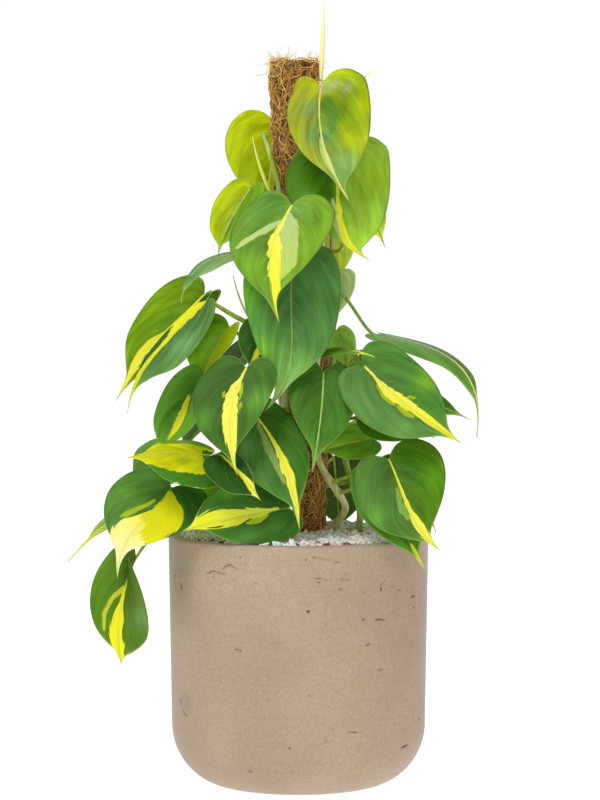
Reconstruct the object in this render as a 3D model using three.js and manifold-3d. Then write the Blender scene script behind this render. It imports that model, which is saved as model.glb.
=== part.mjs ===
// Potted philodendron "Brasil": a fibre-clay pot with mineral granules, a coir pole, seven vines
// and their heart-shaped leaves. Units are mm, +Z is up and the front faces -Y.
// The origin is the centre of the pot's flat base.
import * as THREE from 'three';
import Module from 'manifold-3d';

const wasm = await Module();
wasm.setup();

// Pot
const POT_HEIGHT = 194;
const POT_RIM_RADIUS = 100;
const POT_LOWER_RADIUS = 97.6;
const POT_BASE_RADIUS = 52;
const POT_CORNER_HEIGHT = 48;
const POT_WALL = 8;
const POT_FLOOR = 11;
const RIM_ROUNDING = 2.2;
const POT_SEGMENTS = 48;

// Mineral substrate
const SOIL_LEVEL = 190.6;
const SOIL_RELIEF = 1.3;
const SOIL_SEGMENTS = 30;
const SOIL_RING_STEP = 12;
const FIT_GAP = 0.35;

// Coir pole, leaning slightly to the left as it rises
const POLE_FOOT = [10.4, 16, 186];
const POLE_HEAD = [-2.6, 6, 557];
const SLEEVE_SECTIONS = [[186, 8.8], [198, 10.4], [214, 12.2], [236, 13.6], [270, 15.6],
  [310, 17.0], [350, 18.0], [390, 18.8], [430, 19.4], [470, 19.9], [510, 20.3], [545, 20.7], [557, 19.6]];
const SLEEVE_LUMP = 0.5;
const SLEEVE_SEGMENTS = 22;
const CORE_RADIUS = 6.5;
const CORE_FOOT_HEIGHT = 62;
const CORE_TOP_DROP = 4;

// Leaves
const BLADE_THICKNESS = 0.8;
const BLADE_CUP = 0.16;
const PETIOLE_RADIUS = 1.25;
const PETIOLE_SIDES = 5;
const PETIOLE_STEPS = 4;
const VINE_SIDES = 6;
const VINE_STEPS = 2;
const STEM_GAP = 0.65;

// Half of the heart-shaped outline, as [across, along] in leaf lengths, from the notch to the tip.
const HALF_OUTLINE = [[0, 0], [0.05, -0.06], [0.15, -0.115], [0.29, -0.1], [0.41, 0.03], [0.455, 0.2],
  [0.43, 0.39], [0.335, 0.57], [0.185, 0.715], [0.078, 0.8], [0.03, 0.88], [0, 1]];
const WIDEST = 0.455;

// Rows of the blade: share of the midrib, and the outline point it fans out to.
const ROW_STATIONS = [[0, 0], [0.035, 1.8], [0.08, 3], [0.15, 4], [0.25, 5], [0.37, 6], [0.51, 7],
  [0.65, 8], [0.8, 9.3], [1, 11]];

// Vines: centre line points and the radius at the foot and at the top.
// A point with two numbers is beside the pole: [angle from the front, height].
const VINES = [
  { name: 'vine_front_left', radius: [3.0, 1.7], points: [[-28, 2, 176], [-28, 2, 197], [-21, -1, 226],
    [-62, 262], [-52, 300], [-44, 350], [-40, 400], [-39, 455], [-27, -8, 503]] },
  { name: 'vine_front_right', radius: [3.0, 1.9], points: [[26.6, 8, 176], [26.6, 8, 196], [32, 2, 205],
    [36, -5, 214], [32.5, -9, 223], [26.5, -11, 232], [15, -12, 254], [16, 292], [30, 350], [42, 420],
    [47, 480], [17.5, -13.5, 541]] },
  { name: 'vine_left', radius: [2.9, 1.8], points: [[-40, 20, 176], [-40, 20, 197], [-30, 20, 220],
    [-108, 262], [-100, 310], [-96, 370], [-92, 432]] },
  { name: 'vine_right', radius: [2.8, 1.8], points: [[47, 14, 176], [47, 14, 197], [47, 12, 212],
    [38, 12, 242], [96, 296], [92, 350], [90, 425]] },
  { name: 'vine_back_left', radius: [3.0, 1.7], points: [[-14, 44, 176], [-14, 44, 197], [-8, 40, 220],
    [-158, 262], [-152, 340], [-146, 420], [-140, 492]] },
  { name: 'vine_back_right', radius: [3.0, 1.7], points: [[14, 46, 176], [14, 46, 197], [16, 42, 222],
    [150, 262], [146, 340], [142, 430], [138, 515]] },
  { name: 'vine_front', radius: [2.8, 1.8], points: [[-14, -10, 176], [-14, -10, 197], [-8, -8, 222],
    [-20, 262], [-12, 310], [-8, 360], [-4, 424]] },
];

// Slim sheaths and rolled leaf tips that grow out of a vine: vine, centre line and radii
const SPIKES = [
  { vine: 2, line: [[-16, 13, 338], [-30, 0, 344], [-44, -8, 364], [-50, -10, 393]],
    radii: [1.2, 1.1, 1.1, 1.5, 1.2, 0.35] },
  { vine: 1, line: [[15, -11, 506], [28, -18, 522], [44, -20, 540], [58, -24, 549]],
    radii: [1.1, 1.1, 1.2, 1.2, 0.9, 0.35] },
  { vine: 0, line: [[-13, -9, 440], [-24, -5, 458], [-31, -1, 478], [-35, 0, 498]],
    radii: [1.6, 1.7, 1.7, 1.5, 1.0, 0.35] },
];

// Rolled new leaf above the front right vine
const SPEAR = [[17.6, -13.6, 541.6], [17.5, -13, 556], [19.5, -12, 580], [19.2, -11, 601]];
const SPEAR_RADII = [1.6, 2.4, 2.3, 1.4, 0.35];

// Leaves. Two values in a row are for the left and the right half, seen from the front.
// base and tip: where the petiole meets the blade, and the end of the drip tip.
// face: azimuth from the front towards the right and elevation of the upper side, in degrees.
// halves: widths of the two halves.
// bend and sway: bow of the midrib out of the blade and sideways, as [even, towards the tip].
// hook: the same two bows for the drip tip alone.
// fold: angle of each half above the midrib plane; curl: extra fold that fades out to the tip.
// full: moves the widest part of each half towards the tip; lean: the same with its lobe.
// vine and node: where the petiole starts.
// handles: shares of the petiole that leave the vine and reach the blade straight.
const LEAVES = [
  { name: 'leaf_01', vine: 1, node: 520, base: [17, -46, 536], tip: [38, -78, 450], face: [4, 20],
    halves: [25, 40], bend: [0.04, 0.02], sway: [-0.1, 0], fold: [8, 8], full: [-0.1, 0.1] },
  { name: 'leaf_02', vine: 1, node: 488, base: [34, -22, 489], tip: [38, -54, 404], face: [6, 12],
    halves: [40, 40], bend: [0.04, 0.03], sway: [-0.075, 0], hook: [0.05, 0.18], fold: [0, 6],
    full: [0.05, 0.3] },
  { name: 'leaf_03', vine: 0, node: 428, base: [-5, -64, 447], tip: [-14, -88, 360], face: [0, 16],
    halves: [34, 38], bend: [0.04, 0.02], sway: [-0.13, 0], fold: [4, 4], full: [0, -0.15] },
  { name: 'leaf_04', vine: 6, node: 380, base: [-1, -48, 407], tip: [-27, -76, 292], face: [2, 12],
    halves: [37, 38], bend: [0.05, 0.0], sway: [-0.034, 0.129], fold: [5, 5], full: [0.05, -0.12] },
  { name: 'leaf_05', vine: 4, node: 440, base: [-18, 42, 508], tip: [-28, 31, 433], face: [12, 8],
    halves: [37, 24], bend: [0.03, 0.02], sway: [0, 0], fold: [0, 0] },
  { name: 'leaf_06', vine: 0, node: 452, base: [-37, -15, 459], tip: [-61, -28, 409], face: [-42, 12],
    halves: [21, 22], bend: [0.06, 0.03], sway: [0.02, 0], fold: [22, 18], full: [0.2, 0.2] },
  { name: 'leaf_07', vine: 0, node: 398, base: [-51, -24, 411], tip: [-89, -30, 372], face: [-68, 38],
    halves: [20, 18], bend: [0.18, 0.02], sway: [0, 0], fold: [-10, -10] },
  { name: 'leaf_08', vine: 2, node: 352, base: [-73, -4, 376], tip: [-139, -30, 298], face: [-28, 22],
    halves: [37, 15], bend: [0.04, 0.03], sway: [0.02, 0], fold: [6, 6], full: [0, 0.1] },
  { name: 'leaf_09', vine: 0, node: 352, base: [-69, -46, 376], tip: [-128, -76, 292], face: [-34, 14],
    halves: [8, 28], bend: [0.05, 0.04], sway: [0.03, -0.07], fold: [34, 12], full: [0, -0.05],
    lean: [0.1, 0.31] },
  { name: 'leaf_10', vine: 2, node: 326, base: [-53, -8, 353], tip: [-78, -20, 304], face: [-24, 12],
    halves: [29, 12], bend: [0.06, 0.02], sway: [0, 0], fold: [8, 24] },
  { name: 'leaf_11', vine: 2, node: 286, base: [-72, -40, 315], tip: [-107, -52, 250], face: [-30, 24],
    halves: [25, 21], bend: [0.05, 0.02], sway: [0, 0], fold: [10, 14], full: [0.05, 0] },
  { name: 'leaf_12', vine: 0, node: 290, base: [-39, -84, 326], tip: [-45, -110, 248], face: [-4, 16],
    halves: [31, 27], bend: [0.04, 0.02], sway: [-0.1, 0], fold: [4, 4], full: [0.08, -0.15] },
  { name: 'leaf_13', vine: 2, node: 246, base: [-68, -58, 259], tip: [-128, -84, 259], face: [-16, 42],
    halves: [14, 36], bend: [0.05, 0.02], sway: [0, 0], fold: [4, 4], full: [0, 0.2] },
  { name: 'leaf_14', vine: 2, node: 214, base: [-96, -56, 234], tip: [-135, -92, 169], face: [-12, 16],
    halves: [38, 38], bend: [0.05, 0.02], sway: [0, -0.085], fold: [6, 6], full: [-0.12, -0.25] },
  { name: 'leaf_15', vine: 6, node: 214, base: [-8, -72, 220], tip: [-87, -85, 204], face: [4, 12],
    halves: [28, 25], bend: [0.05, 0.02], sway: [-0.02, 0], fold: [6, 6], full: [0.25, 0] },
  { name: 'leaf_16', vine: 0, node: 230, base: [-57, -88, 261], tip: [-28, -104, 229], face: [8, 30],
    halves: [22, 10], bend: [0.06, 0.02], sway: [0, 0], fold: [14, 14], full: [0.2, 0] },
  { name: 'leaf_17', vine: 6, node: 268, base: [-33, -56, 290], tip: [1, -99, 206], face: [2, 18],
    halves: [36, 23], bend: [0.05, 0.02], sway: [0.065, 0], fold: [6, 6], full: [-0.05, 0] },
  { name: 'leaf_18', vine: 1, node: 300, base: [19, -58, 321], tip: [10, -80, 247], face: [2, 14],
    halves: [27, 26], bend: [0.05, 0.02], sway: [0.02, 0], fold: [8, 8], full: [-0.15, -0.05] },
  { name: 'leaf_19', vine: 1, node: 312, base: [50, -62, 326], tip: [122, -86, 270], face: [12, 16],
    halves: [33, 31], bend: [0.05, 0.02], sway: [-0.05, 0], fold: [5, 5], full: [0.1, 0.1] },
  { name: 'leaf_20', vine: 1, node: 386, base: [66, -20, 348], tip: [135, -50, 272], face: [52, 44],
    halves: [17, 26], bend: [0.18, 0.1], sway: [0, 0], fold: [-14, -14] },
  { name: 'leaf_21', vine: 3, node: 300, base: [72, -20, 303], tip: [131, -42, 284], face: [20, 22],
    halves: [13, 13], bend: [0.06, 0.02], sway: [0, 0], fold: [8, 8] },
  { name: 'leaf_22', vine: 3, node: 280, base: [56, -44, 294], tip: [103, -64, 272], face: [10, 20],
    halves: [24, 24], bend: [0.04, 0.02], sway: [0, 0], fold: [6, 6] },
  { name: 'leaf_23', vine: 1, node: 234, base: [68, -76, 257], tip: [106, -104, 191], face: [10, 20],
    halves: [34, 39], bend: [0.04, 0.02], sway: [-0.03, -0.06], fold: [5, 5], full: [0.12, -0.05] },
  { name: 'leaf_24', vine: 1, node: 226, base: [58, -56, 246], tip: [95, -92, 175], face: [8, 18],
    halves: [24, 30], bend: [0.05, 0.02], sway: [-0.04, 0], fold: [6, 6] },
  { name: 'leaf_25', vine: 2, node: 207, base: [-124, -42, 179], tip: [-134, -58, 100], face: [-12, 10],
    halves: [25, 33], bend: [0.07, 0.02], sway: [-0.06, 0], fold: [10, 4], full: [0.2, 0.35],
    handles: [0.8, 0.12], curl: [0, 95] },
  { name: 'leaf_26', vine: 2, node: 230, base: [-111, -22, 229], tip: [-175, -46, 177], face: [-58, 30],
    halves: [14, 14], bend: [0.04, 0.0], sway: [0, 0], fold: [10, 10], full: [-0.2, -0.2] },
  { name: 'leaf_27', vine: 2, node: 262, base: [-90, -14, 255], tip: [-132, -36, 234], face: [-30, 24],
    halves: [26, 26], bend: [0.05, 0.02], sway: [0, 0], fold: [6, 6] },
  { name: 'leaf_28', vine: 0, node: 338, base: [-24, -26, 357], tip: [-38, -42, 318], face: [-10, 10],
    halves: [18, 24], bend: [0.05, 0.02], sway: [0, 0], fold: [6, 6] },
  { name: 'leaf_29', vine: 1, node: 340, base: [29, -26, 351], tip: [37, -34, 320], face: [24, 12],
    halves: [14, 13], bend: [0.05, 0.02], sway: [0, 0], fold: [10, 10] },
  { name: 'leaf_30', vine: 6, node: 318, base: [8, -40, 333], tip: [57, -72, 334], face: [10, 70],
    halves: [13, 9], bend: [0.05, 0.02], sway: [0, 0], fold: [8, 8] },
  { name: 'leaf_31', vine: 3, node: 386, base: [30, 34, 394], tip: [-8, 44, 338], face: [170, 6],
    halves: [20, 20], bend: [0.05, 0], sway: [0, 0], fold: [6, 6] },
  { name: 'leaf_32', vine: 3, node: 410, base: [42, -8, 458], tip: [66, -28, 414], face: [20, 14],
    halves: [16, 16], bend: [0.05, 0.02], sway: [0, 0], fold: [8, 8] },
  { name: 'leaf_33', vine: 0, node: 212, base: [-58, -30, 238], tip: [-76, -56, 196], face: [-10, 20],
    halves: [16, 16], bend: [0.05, 0.02], sway: [0, 0], fold: [6, 6] },
  { name: 'leaf_34', vine: 3, node: 258, base: [56, -30, 269], tip: [13, -36, 258], face: [6, 34],
    halves: [16, 16], bend: [0.05, 0.02], sway: [0, 0], fold: [6, 6] },
  { name: 'leaf_35', vine: 5, node: 480, base: [10, 54, 500], tip: [22, 80, 425], face: [150, 22],
    halves: [32, 32], bend: [0.05, 0.03], sway: [0.04, 0], fold: [6, 6] },
  { name: 'leaf_36', vine: 4, node: 430, base: [-18, 62, 455], tip: [-34, 88, 380], face: [-164, 22],
    halves: [29, 30], bend: [0.05, 0.03], sway: [0.02, 0], fold: [6, 6] },
  { name: 'leaf_37', vine: 5, node: 420, base: [14, 60, 440], tip: [14, 86, 362], face: [176, 20],
    halves: [28, 28], bend: [0.05, 0.03], sway: [-0.04, 0], fold: [6, 6] },
  { name: 'leaf_38', vine: 4, node: 330, base: [-26, 62, 346], tip: [-66, 90, 285], face: [-122, 20],
    halves: [29, 30], bend: [0.05, 0.03], sway: [0.03, 0], fold: [6, 6] },
  { name: 'leaf_39', vine: 5, node: 312, base: [48, 36, 328], tip: [80, 46, 276], face: [112, 20],
    halves: [29, 28], bend: [0.05, 0.03], sway: [0.03, 0], fold: [6, 6] },
  { name: 'leaf_40', vine: 4, node: 280, base: [-48, 64, 296], tip: [-96, 96, 240], face: [-118, 24],
    halves: [29, 30], bend: [0.05, 0.03], sway: [0, 0], fold: [6, 6] },
  { name: 'leaf_41', vine: 5, node: 270, base: [58, 64, 285], tip: [106, 92, 235], face: [116, 24],
    halves: [20, 28], bend: [0.05, 0.03], sway: [0, 0], fold: [6, 6] },
  { name: 'leaf_42', vine: 4, node: 224, base: [-50, 62, 236], tip: [-104, 90, 190], face: [-114, 26],
    halves: [28, 28], bend: [0.05, 0.03], sway: [0, 0], fold: [6, 6] },
  { name: 'leaf_43', vine: 5, node: 226, base: [63, 56, 240], tip: [109, 84, 186], face: [122, 26],
    halves: [28, 28], bend: [0.05, 0.03], sway: [0, 0], fold: [6, 6] },
  { name: 'leaf_44', vine: 5, node: 240, base: [28, 86, 246], tip: [33, 111, 177], face: [176, 20],
    halves: [29, 27], bend: [0.05, 0.03], sway: [0, 0], fold: [6, 6] },
  { name: 'leaf_45', vine: 4, node: 380, base: [-8, 64, 398], tip: [-14, 94, 322], face: [-174, 22],
    halves: [30, 30], bend: [0.05, 0.03], sway: [0.04, 0], fold: [6, 6] },
  { name: 'leaf_46', vine: 5, node: 330, base: [12, 72, 336], tip: [20, 102, 258], face: [176, 22],
    halves: [30, 31], bend: [0.05, 0.03], sway: [-0.04, 0], fold: [6, 6] },
];

const along = (from, to, share) => from.map((value, i) => value + (to[i] - value) * share);
const add = (a, b, scale = 1) => a.map((value, i) => value + b[i] * scale);
const minus = (a, b) => a.map((value, i) => value - b[i]);
const dot = (a, b) => a[0] * b[0] + a[1] * b[1] + a[2] * b[2];
const cross = (a, b) => [a[1] * b[2] - a[2] * b[1], a[2] * b[0] - a[0] * b[2], a[0] * b[1] - a[1] * b[0]];
const unit = (a) => a.map((value) => value / Math.hypot(...a));
const square = (a, axis) => unit(add(a, axis, -dot(a, axis)));
const radians = (degrees) => degrees * Math.PI / 180;

// A repeatable value between -1 and 1 for a whole-number pair.
function scatter(a, b) {
  const value = Math.sin(a * 127.1 + b * 311.7) * 43758.5453;
  return (value - Math.floor(value)) * 2 - 1;
}

// Catmull-Rom point of an open list of points at 0..1.
function splineAt(points, share) {
  const spans = points.length - 1;
  const span = Math.min(Math.floor(share * spans), spans - 1);
  const t = share * spans - span;
  const at = (i) => points[Math.max(0, Math.min(spans, i))];
  const [a, b, c, d] = [at(span - 1), at(span), at(span + 1), at(span + 2)];
  return b.map((value, i) => 0.5 * (2 * value + (c[i] - a[i]) * t
    + (2 * a[i] - 5 * value + 4 * c[i] - d[i]) * t * t + (3 * value - a[i] - 3 * c[i] + d[i]) * t * t * t));
}

// One closed body from a list of corner points and triangles.
function solid(points, triangles) {
  return new wasm.Manifold(new wasm.Mesh({
    numProp: 3,
    vertProperties: new Float32Array(points.flat()),
    triVerts: new Uint32Array(triangles.flat()),
  }));
}

// Rings of corners joined into one closed body; a ring with one point closes to a tip.
function loft(rings) {
  const points = [];
  const triangles = [];
  const starts = rings.map((ring) => {
    points.push(...ring);
    return points.length - ring.length;
  });
  for (let r = 0; r + 1 < rings.length; r += 1) {
    const size = Math.max(rings[r].length, rings[r + 1].length);
    for (let i = 0; i < size; i += 1) {
      const low = (k) => starts[r] + (rings[r].length === 1 ? 0 : k % size);
      const high = (k) => starts[r + 1] + (rings[r + 1].length === 1 ? 0 : k % size);
      if (rings[r].length > 1) triangles.push([low(i), low(i + 1), high(i)]);
      if (rings[r + 1].length > 1) triangles.push([low(i + 1), high(i + 1), high(i)]);
    }
  }
  for (const [ring, start, turned] of [[rings[0], starts[0], true],
    [rings[rings.length - 1], starts[rings.length - 1], false]]) {
    for (let i = 1; i + 1 < ring.length; i += 1) {
      triangles.push(turned ? [start, start + i + 1, start + i] : [start, start + i, start + i + 1]);
    }
  }
  return solid(points, triangles);
}

// Round bar along a list of points, with one radius per point.
function bar(path, radii, sides) {
  let side = square(Math.abs(unit(minus(path[1], path[0]))[2]) > 0.9 ? [1, 0, 0] : [0, 0, 1],
    unit(minus(path[1], path[0])));
  return loft(path.map((centre, i) => {
    const before = path[Math.max(0, i - 1)];
    const after = path[Math.min(path.length - 1, i + 1)];
    const direction = unit(minus(after, before));
    side = square(side, direction);
    const other = cross(direction, side);
    return Array.from({ length: sides }, (_, k) => {
      const angle = 2 * Math.PI * k / sides;
      return add(add(centre, side, radii[i] * Math.cos(angle)), other, radii[i] * Math.sin(angle));
    });
  }));
}

function bezier(a, b, c, d, steps) {
  return Array.from({ length: steps + 1 }, (_, i) => {
    const t = i / steps;
    const s = 1 - t;
    const shares = [s * s * s, 3 * s * s * t, 3 * s * t * t, t * t * t];
    return a.map((value, k) => value * shares[0] + b[k] * shares[1] + c[k] * shares[2] + d[k] * shares[3]);
  });
}

// Body of revolution about +Z; profile points are [radius, height] from the axis round to the axis.
function revolve(profile, segments) {
  return loft(profile.map(([radius, height]) => (radius < 1e-6 ? [[0, 0, height]]
    : Array.from({ length: segments }, (_, k) => {
      const angle = 2 * Math.PI * k / segments;
      return [radius * Math.cos(angle), radius * Math.sin(angle), height];
    }))));
}

// Outer pot radius at a height: a rounded lower corner and a slightly flared wall.
function potRadius(height) {
  if (height >= POT_CORNER_HEIGHT) {
    const share = (height - POT_CORNER_HEIGHT) / (POT_HEIGHT - POT_CORNER_HEIGHT);
    return POT_LOWER_RADIUS + (POT_RIM_RADIUS - POT_LOWER_RADIUS) * share;
  }
  const drop = 1 - height / POT_CORNER_HEIGHT;
  return POT_BASE_RADIUS + (POT_LOWER_RADIUS - POT_BASE_RADIUS) * Math.sqrt(1 - drop * drop);
}

function innerRadius(height) {
  const wall = POT_WALL + (height < POT_CORNER_HEIGHT ? 2 * (1 - height / POT_CORNER_HEIGHT) : 0);
  return potRadius(height) - wall;
}

function buildPot() {
  const profile = [[0, 0], [POT_BASE_RADIUS, 0]];
  for (const angle of [16, 34, 52, 70, 90]) {
    profile.push([POT_BASE_RADIUS + (POT_LOWER_RADIUS - POT_BASE_RADIUS) * Math.sin(radians(angle)),
      POT_CORNER_HEIGHT * (1 - Math.cos(radians(angle)))]);
  }
  profile.push([POT_RIM_RADIUS, POT_HEIGHT - RIM_ROUNDING]);
  profile.push([POT_RIM_RADIUS - RIM_ROUNDING * 0.3, POT_HEIGHT - RIM_ROUNDING * 0.3]);
  profile.push([POT_RIM_RADIUS - RIM_ROUNDING, POT_HEIGHT]);
  profile.push([POT_RIM_RADIUS - POT_WALL + RIM_ROUNDING, POT_HEIGHT]);
  profile.push([POT_RIM_RADIUS - POT_WALL, POT_HEIGHT - RIM_ROUNDING]);
  for (const height of [POT_CORNER_HEIGHT, 28, 17]) profile.push([innerRadius(height), height]);
  profile.push([innerRadius(POT_FLOOR), POT_FLOOR]);
  profile.push([0, POT_FLOOR]);
  return revolve(profile, POT_SEGMENTS);
}

// Mineral fill with a relief of granules on top and plain holes for the pole and the stems.
function buildSubstrate(holes) {
  const rings = [[[0, 0, POT_FLOOR + FIT_GAP]]];
  const ringAt = (radius, height, relief) => Array.from({ length: SOIL_SEGMENTS }, (_, k) => {
    const index = relief ? Math.round(radius) : 0;
    const reach = radius + (relief ? 2.2 * scatter(k, index) : 0);
    const angle = 2 * Math.PI * (k + (relief ? 0.25 * scatter(index, k) : 0)) / SOIL_SEGMENTS;
    const rise = relief ? SOIL_RELIEF * scatter(k + 5, index + 9) : 0;
    return [reach * Math.cos(angle), reach * Math.sin(angle), height + rise];
  });
  for (const height of [POT_FLOOR + FIT_GAP, 17, 28, POT_CORNER_HEIGHT]) {
    rings.push(ringAt(innerRadius(height) - 2 * FIT_GAP, height, false));
  }
  const edge = POT_RIM_RADIUS - POT_WALL - 2 * FIT_GAP - 0.4;
  rings.push(ringAt(edge, SOIL_LEVEL - 1.5, false));
  for (let radius = edge - 5; radius > 6; radius -= SOIL_RING_STEP) {
    rings.push(ringAt(radius, SOIL_LEVEL, true));
  }
  rings.push([[0, 0, SOIL_LEVEL]]);
  return holes.reduce((body, hole) => body.subtract(hole), loft(rings));
}

function poleCentre(height) {
  const share = (height - POLE_FOOT[2]) / (POLE_HEAD[2] - POLE_FOOT[2]);
  return along(POLE_FOOT, POLE_HEAD, share);
}

function sleeveRadius(height) {
  const last = SLEEVE_SECTIONS.length - 1;
  for (let i = 0; i < last; i += 1) {
    const [low, radius] = SLEEVE_SECTIONS[i];
    const [high, next] = SLEEVE_SECTIONS[i + 1];
    if (height <= high) return radius + (next - radius) * Math.max(0, (height - low) / (high - low));
  }
  return SLEEVE_SECTIONS[last][1];
}

function poleCircle(height, radius, segments, lump) {
  const [x, y, z] = poleCentre(height);
  return Array.from({ length: segments }, (_, k) => {
    const angle = 2 * Math.PI * k / segments;
    const reach = radius + lump * scatter(k, Math.round(height));
    return [x + reach * Math.cos(angle), y + reach * Math.sin(angle), z];
  });
}

function buildSleeve() {
  const body = loft(SLEEVE_SECTIONS.map(([height, radius]) => (
    poleCircle(height, radius, SLEEVE_SEGMENTS, height > 200 && height < 550 ? SLEEVE_LUMP : 0))));
  const bore = loft([POLE_FOOT[2] - 5, POLE_HEAD[2] + 5].map((height) => (
    poleCircle(height, CORE_RADIUS + FIT_GAP, SLEEVE_SEGMENTS, 0))));
  return body.subtract(bore);
}

function coreBar(radius, foot, head, sides) {
  return loft([foot, head].map((height) => poleCircle(height, radius, sides, 0)));
}

// A vine's centre line: given points, with pole-side points turned into places just off the coir.
function vinePath(vine) {
  const points = vine.points.map((point) => {
    if (point.length === 3) return point;
    const [angle, height] = point;
    const [x, y, z] = poleCentre(height);
    const reach = sleeveRadius(height) + SLEEVE_LUMP + vine.radius[0] + 1.2;
    return [x + reach * Math.sin(radians(angle)), y - reach * Math.cos(radians(angle)), z];
  });
  const steps = VINE_STEPS * (points.length - 1);
  const path = [points[0]];
  for (let i = VINE_STEPS; i <= steps; i += 1) path.push(splineAt(points, i / steps));
  return path;
}

function vineRadii(vine, path) {
  const last = path.length - 1;
  return path.map((_, i) => vine.radius[0] + (vine.radius[1] - vine.radius[0]) * i / last);
}

// The place and direction of a vine's centre line at a height.
function vineAt(vine, height) {
  const path = vinePath(vine);
  const radii = vineRadii(vine, path);
  for (let i = 1; i < path.length; i += 1) {
    if (path[i][2] >= height || i === path.length - 1) {
      const share = Math.min(1, (height - path[i - 1][2]) / (path[i][2] - path[i - 1][2]));
      return { point: along(path[i - 1], path[i], share), direction: unit(minus(path[i], path[i - 1])),
        radius: radii[i - 1] + (radii[i] - radii[i - 1]) * share };
    }
  }
  return null;
}

function faceVector([azimuth, elevation]) {
  const level = Math.cos(radians(elevation));
  return [level * Math.sin(radians(azimuth)), -level * Math.cos(radians(azimuth)),
    Math.sin(radians(elevation))];
}

// Maps flat blade coordinates (across, along, in mm) to the bent, folded and cupped blade.
function bladeShape(leaf) {
  const chord = minus(leaf.tip, leaf.base);
  const length = Math.hypot(...chord);
  const axis = unit(chord);
  const normal = square(faceVector(leaf.face), axis);
  const side = cross(normal, axis);
  const hook = leaf.hook ?? [0, 0];
  const curl = leaf.curl ?? [0, 0];
  const arch = (v) => {
    const late = 6.75 * v * v * (1 - v);
    const bow = leaf.bend[0] * 4 * v * (1 - v) + leaf.bend[1] * late + hook[0] * v ** 10;
    return add(add(leaf.base, axis, length * v), normal, length * bow);
  };
  const drift = (v) => (
    length * (leaf.sway[0] * 4 * v * (1 - v) + leaf.sway[1] * 6.75 * v * v * (1 - v) + hook[1] * v ** 10));
  const place = (across, distance) => {
    const v = Math.max(0, Math.min(1, distance / length));
    const tangent = unit(minus(arch(Math.min(1, v + 0.01)), arch(Math.max(0, v - 0.01))));
    const up = square(normal, tangent);
    const half = across < 0 ? 0 : 1;
    const fold = radians(leaf.fold[half] + curl[half] * (1 - v) ** 1.5);
    const out = Math.abs(across);
    const ease = out * out / (out + 0.04 * length);
    const rise = ease * Math.sin(fold) - BLADE_CUP * out * out / (leaf.halves[0] + leaf.halves[1]);
    const reach = across * Math.cos(fold);
    const back = distance < 0 ? distance : 0;
    return add(add(add(arch(v), tangent, back), up, rise), side, reach + drift(v));
  };
  return { length, axis, normal, place };
}

// Rows of the blade from the base to the tip: place on the midrib and the margin point, as shares.
const ROWS = ROW_STATIONS.map(([rib, t]) => {
  const [across, margin] = splineAt(HALF_OUTLINE, t / (HALF_OUTLINE.length - 1));
  return { rib, across: Math.max(0, across) / WIDEST, margin };
});

// Moves a margin point of one half towards the tip, so that the half is fuller there.
function lowered(across, margin, full, lean) {
  const moved = margin > 0 ? margin + 2 * full * margin * (1 - margin) : margin;
  return moved + lean * across * (1 - moved);
}

function buildBlade(leaf, shape) {
  const full = leaf.full ?? [0, 0];
  const lean = leaf.lean ?? [0, 0];
  const columns = [0.5, 1];
  const flat = [];
  const index = ROWS.map(({ rib, across, margin: edge }, j) => {
    const end = j === 0 || j === ROWS.length - 1;
    flat.push([0, rib * shape.length]);
    const centre = flat.length - 1;
    const half = (width, k) => columns.map((share) => {
      if (end) return centre;
      const lowest = lowered(across, edge, full[k], lean[k]);
      flat.push([width * across * share, (rib + (lowest - rib) * share) * shape.length]);
      return flat.length - 1;
    });
    return { left: [centre, ...half(-leaf.halves[0], 0)], right: [centre, ...half(leaf.halves[1], 1)] };
  });
  const top = flat.map(([across, distance]) => shape.place(across, distance));
  const faces = [];
  const margin = [];
  for (const name of ['left', 'right']) {
    for (let j = 0; j + 1 < index.length; j += 1) {
      const upper = index[j][name];
      const lower = index[j + 1][name];
      for (let k = 0; k < columns.length; k += 1) {
        const cells = [[upper[k], lower[k], lower[k + 1]], [upper[k], lower[k + 1], upper[k + 1]]];
        for (const [a, b, c] of cells) {
          if (a === b || b === c || a === c) continue;
          faces.push(name === 'right' ? [a, b, c] : [a, c, b]);
        }
      }
      const edge = [upper[columns.length], lower[columns.length]];
      margin.push(name === 'right' ? edge : [edge[1], edge[0]]);
    }
  }
  const normals = flat.map(() => [0, 0, 0]);
  for (const [a, b, c] of faces) {
    const area = cross(minus(top[b], top[a]), minus(top[c], top[a]));
    for (const corner of [a, b, c]) normals[corner] = add(normals[corner], area);
  }
  const bottom = top.map((point, i) => add(point, unit(normals[i]), -BLADE_THICKNESS));
  const count = top.length;
  const triangles = [...faces, ...faces.map(([a, b, c]) => [a + count, c + count, b + count])];
  for (const [a, b] of margin) triangles.push([a, b, b + count], [a, b + count, a + count]);
  return solid([...top, ...bottom], triangles);
}

// The leaf stalk: square off the vine, then curving up and arriving under the notch of the blade.
function petiolePath(leaf, shape) {
  const start = vineAt(VINES[leaf.vine], leaf.node);
  const aim = leaf.aim ? add(start.point, leaf.aim) : leaf.base;
  const out = square(minus(aim, start.point), start.direction);
  const foot = add(start.point, out, start.radius + STEM_GAP);
  const reach = Math.hypot(...minus(leaf.base, foot));
  const first = leaf.handles ? leaf.handles[0] : 0.35;
  const second = leaf.handles ? leaf.handles[1] : 0.35;
  const arrive = unit(add(shape.normal.map((value) => value * 0.85), shape.axis, 0.25));
  const end = add(leaf.base, shape.normal, 0.15 - 0.5 * BLADE_THICKNESS);
  return bezier(foot, add(foot, out, reach * first), add(end, arrive, -reach * second), end, PETIOLE_STEPS);
}

function buildLeaf(leaf) {
  const shape = bladeShape(leaf);
  const path = petiolePath(leaf, shape);
  const radius = leaf.stalk ?? PETIOLE_RADIUS;
  const stalk = bar(path, path.map((_, i) => radius * (1.15 - 0.25 * i / PETIOLE_STEPS)), PETIOLE_SIDES);
  return buildBlade(leaf, shape).add(stalk);
}

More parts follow.
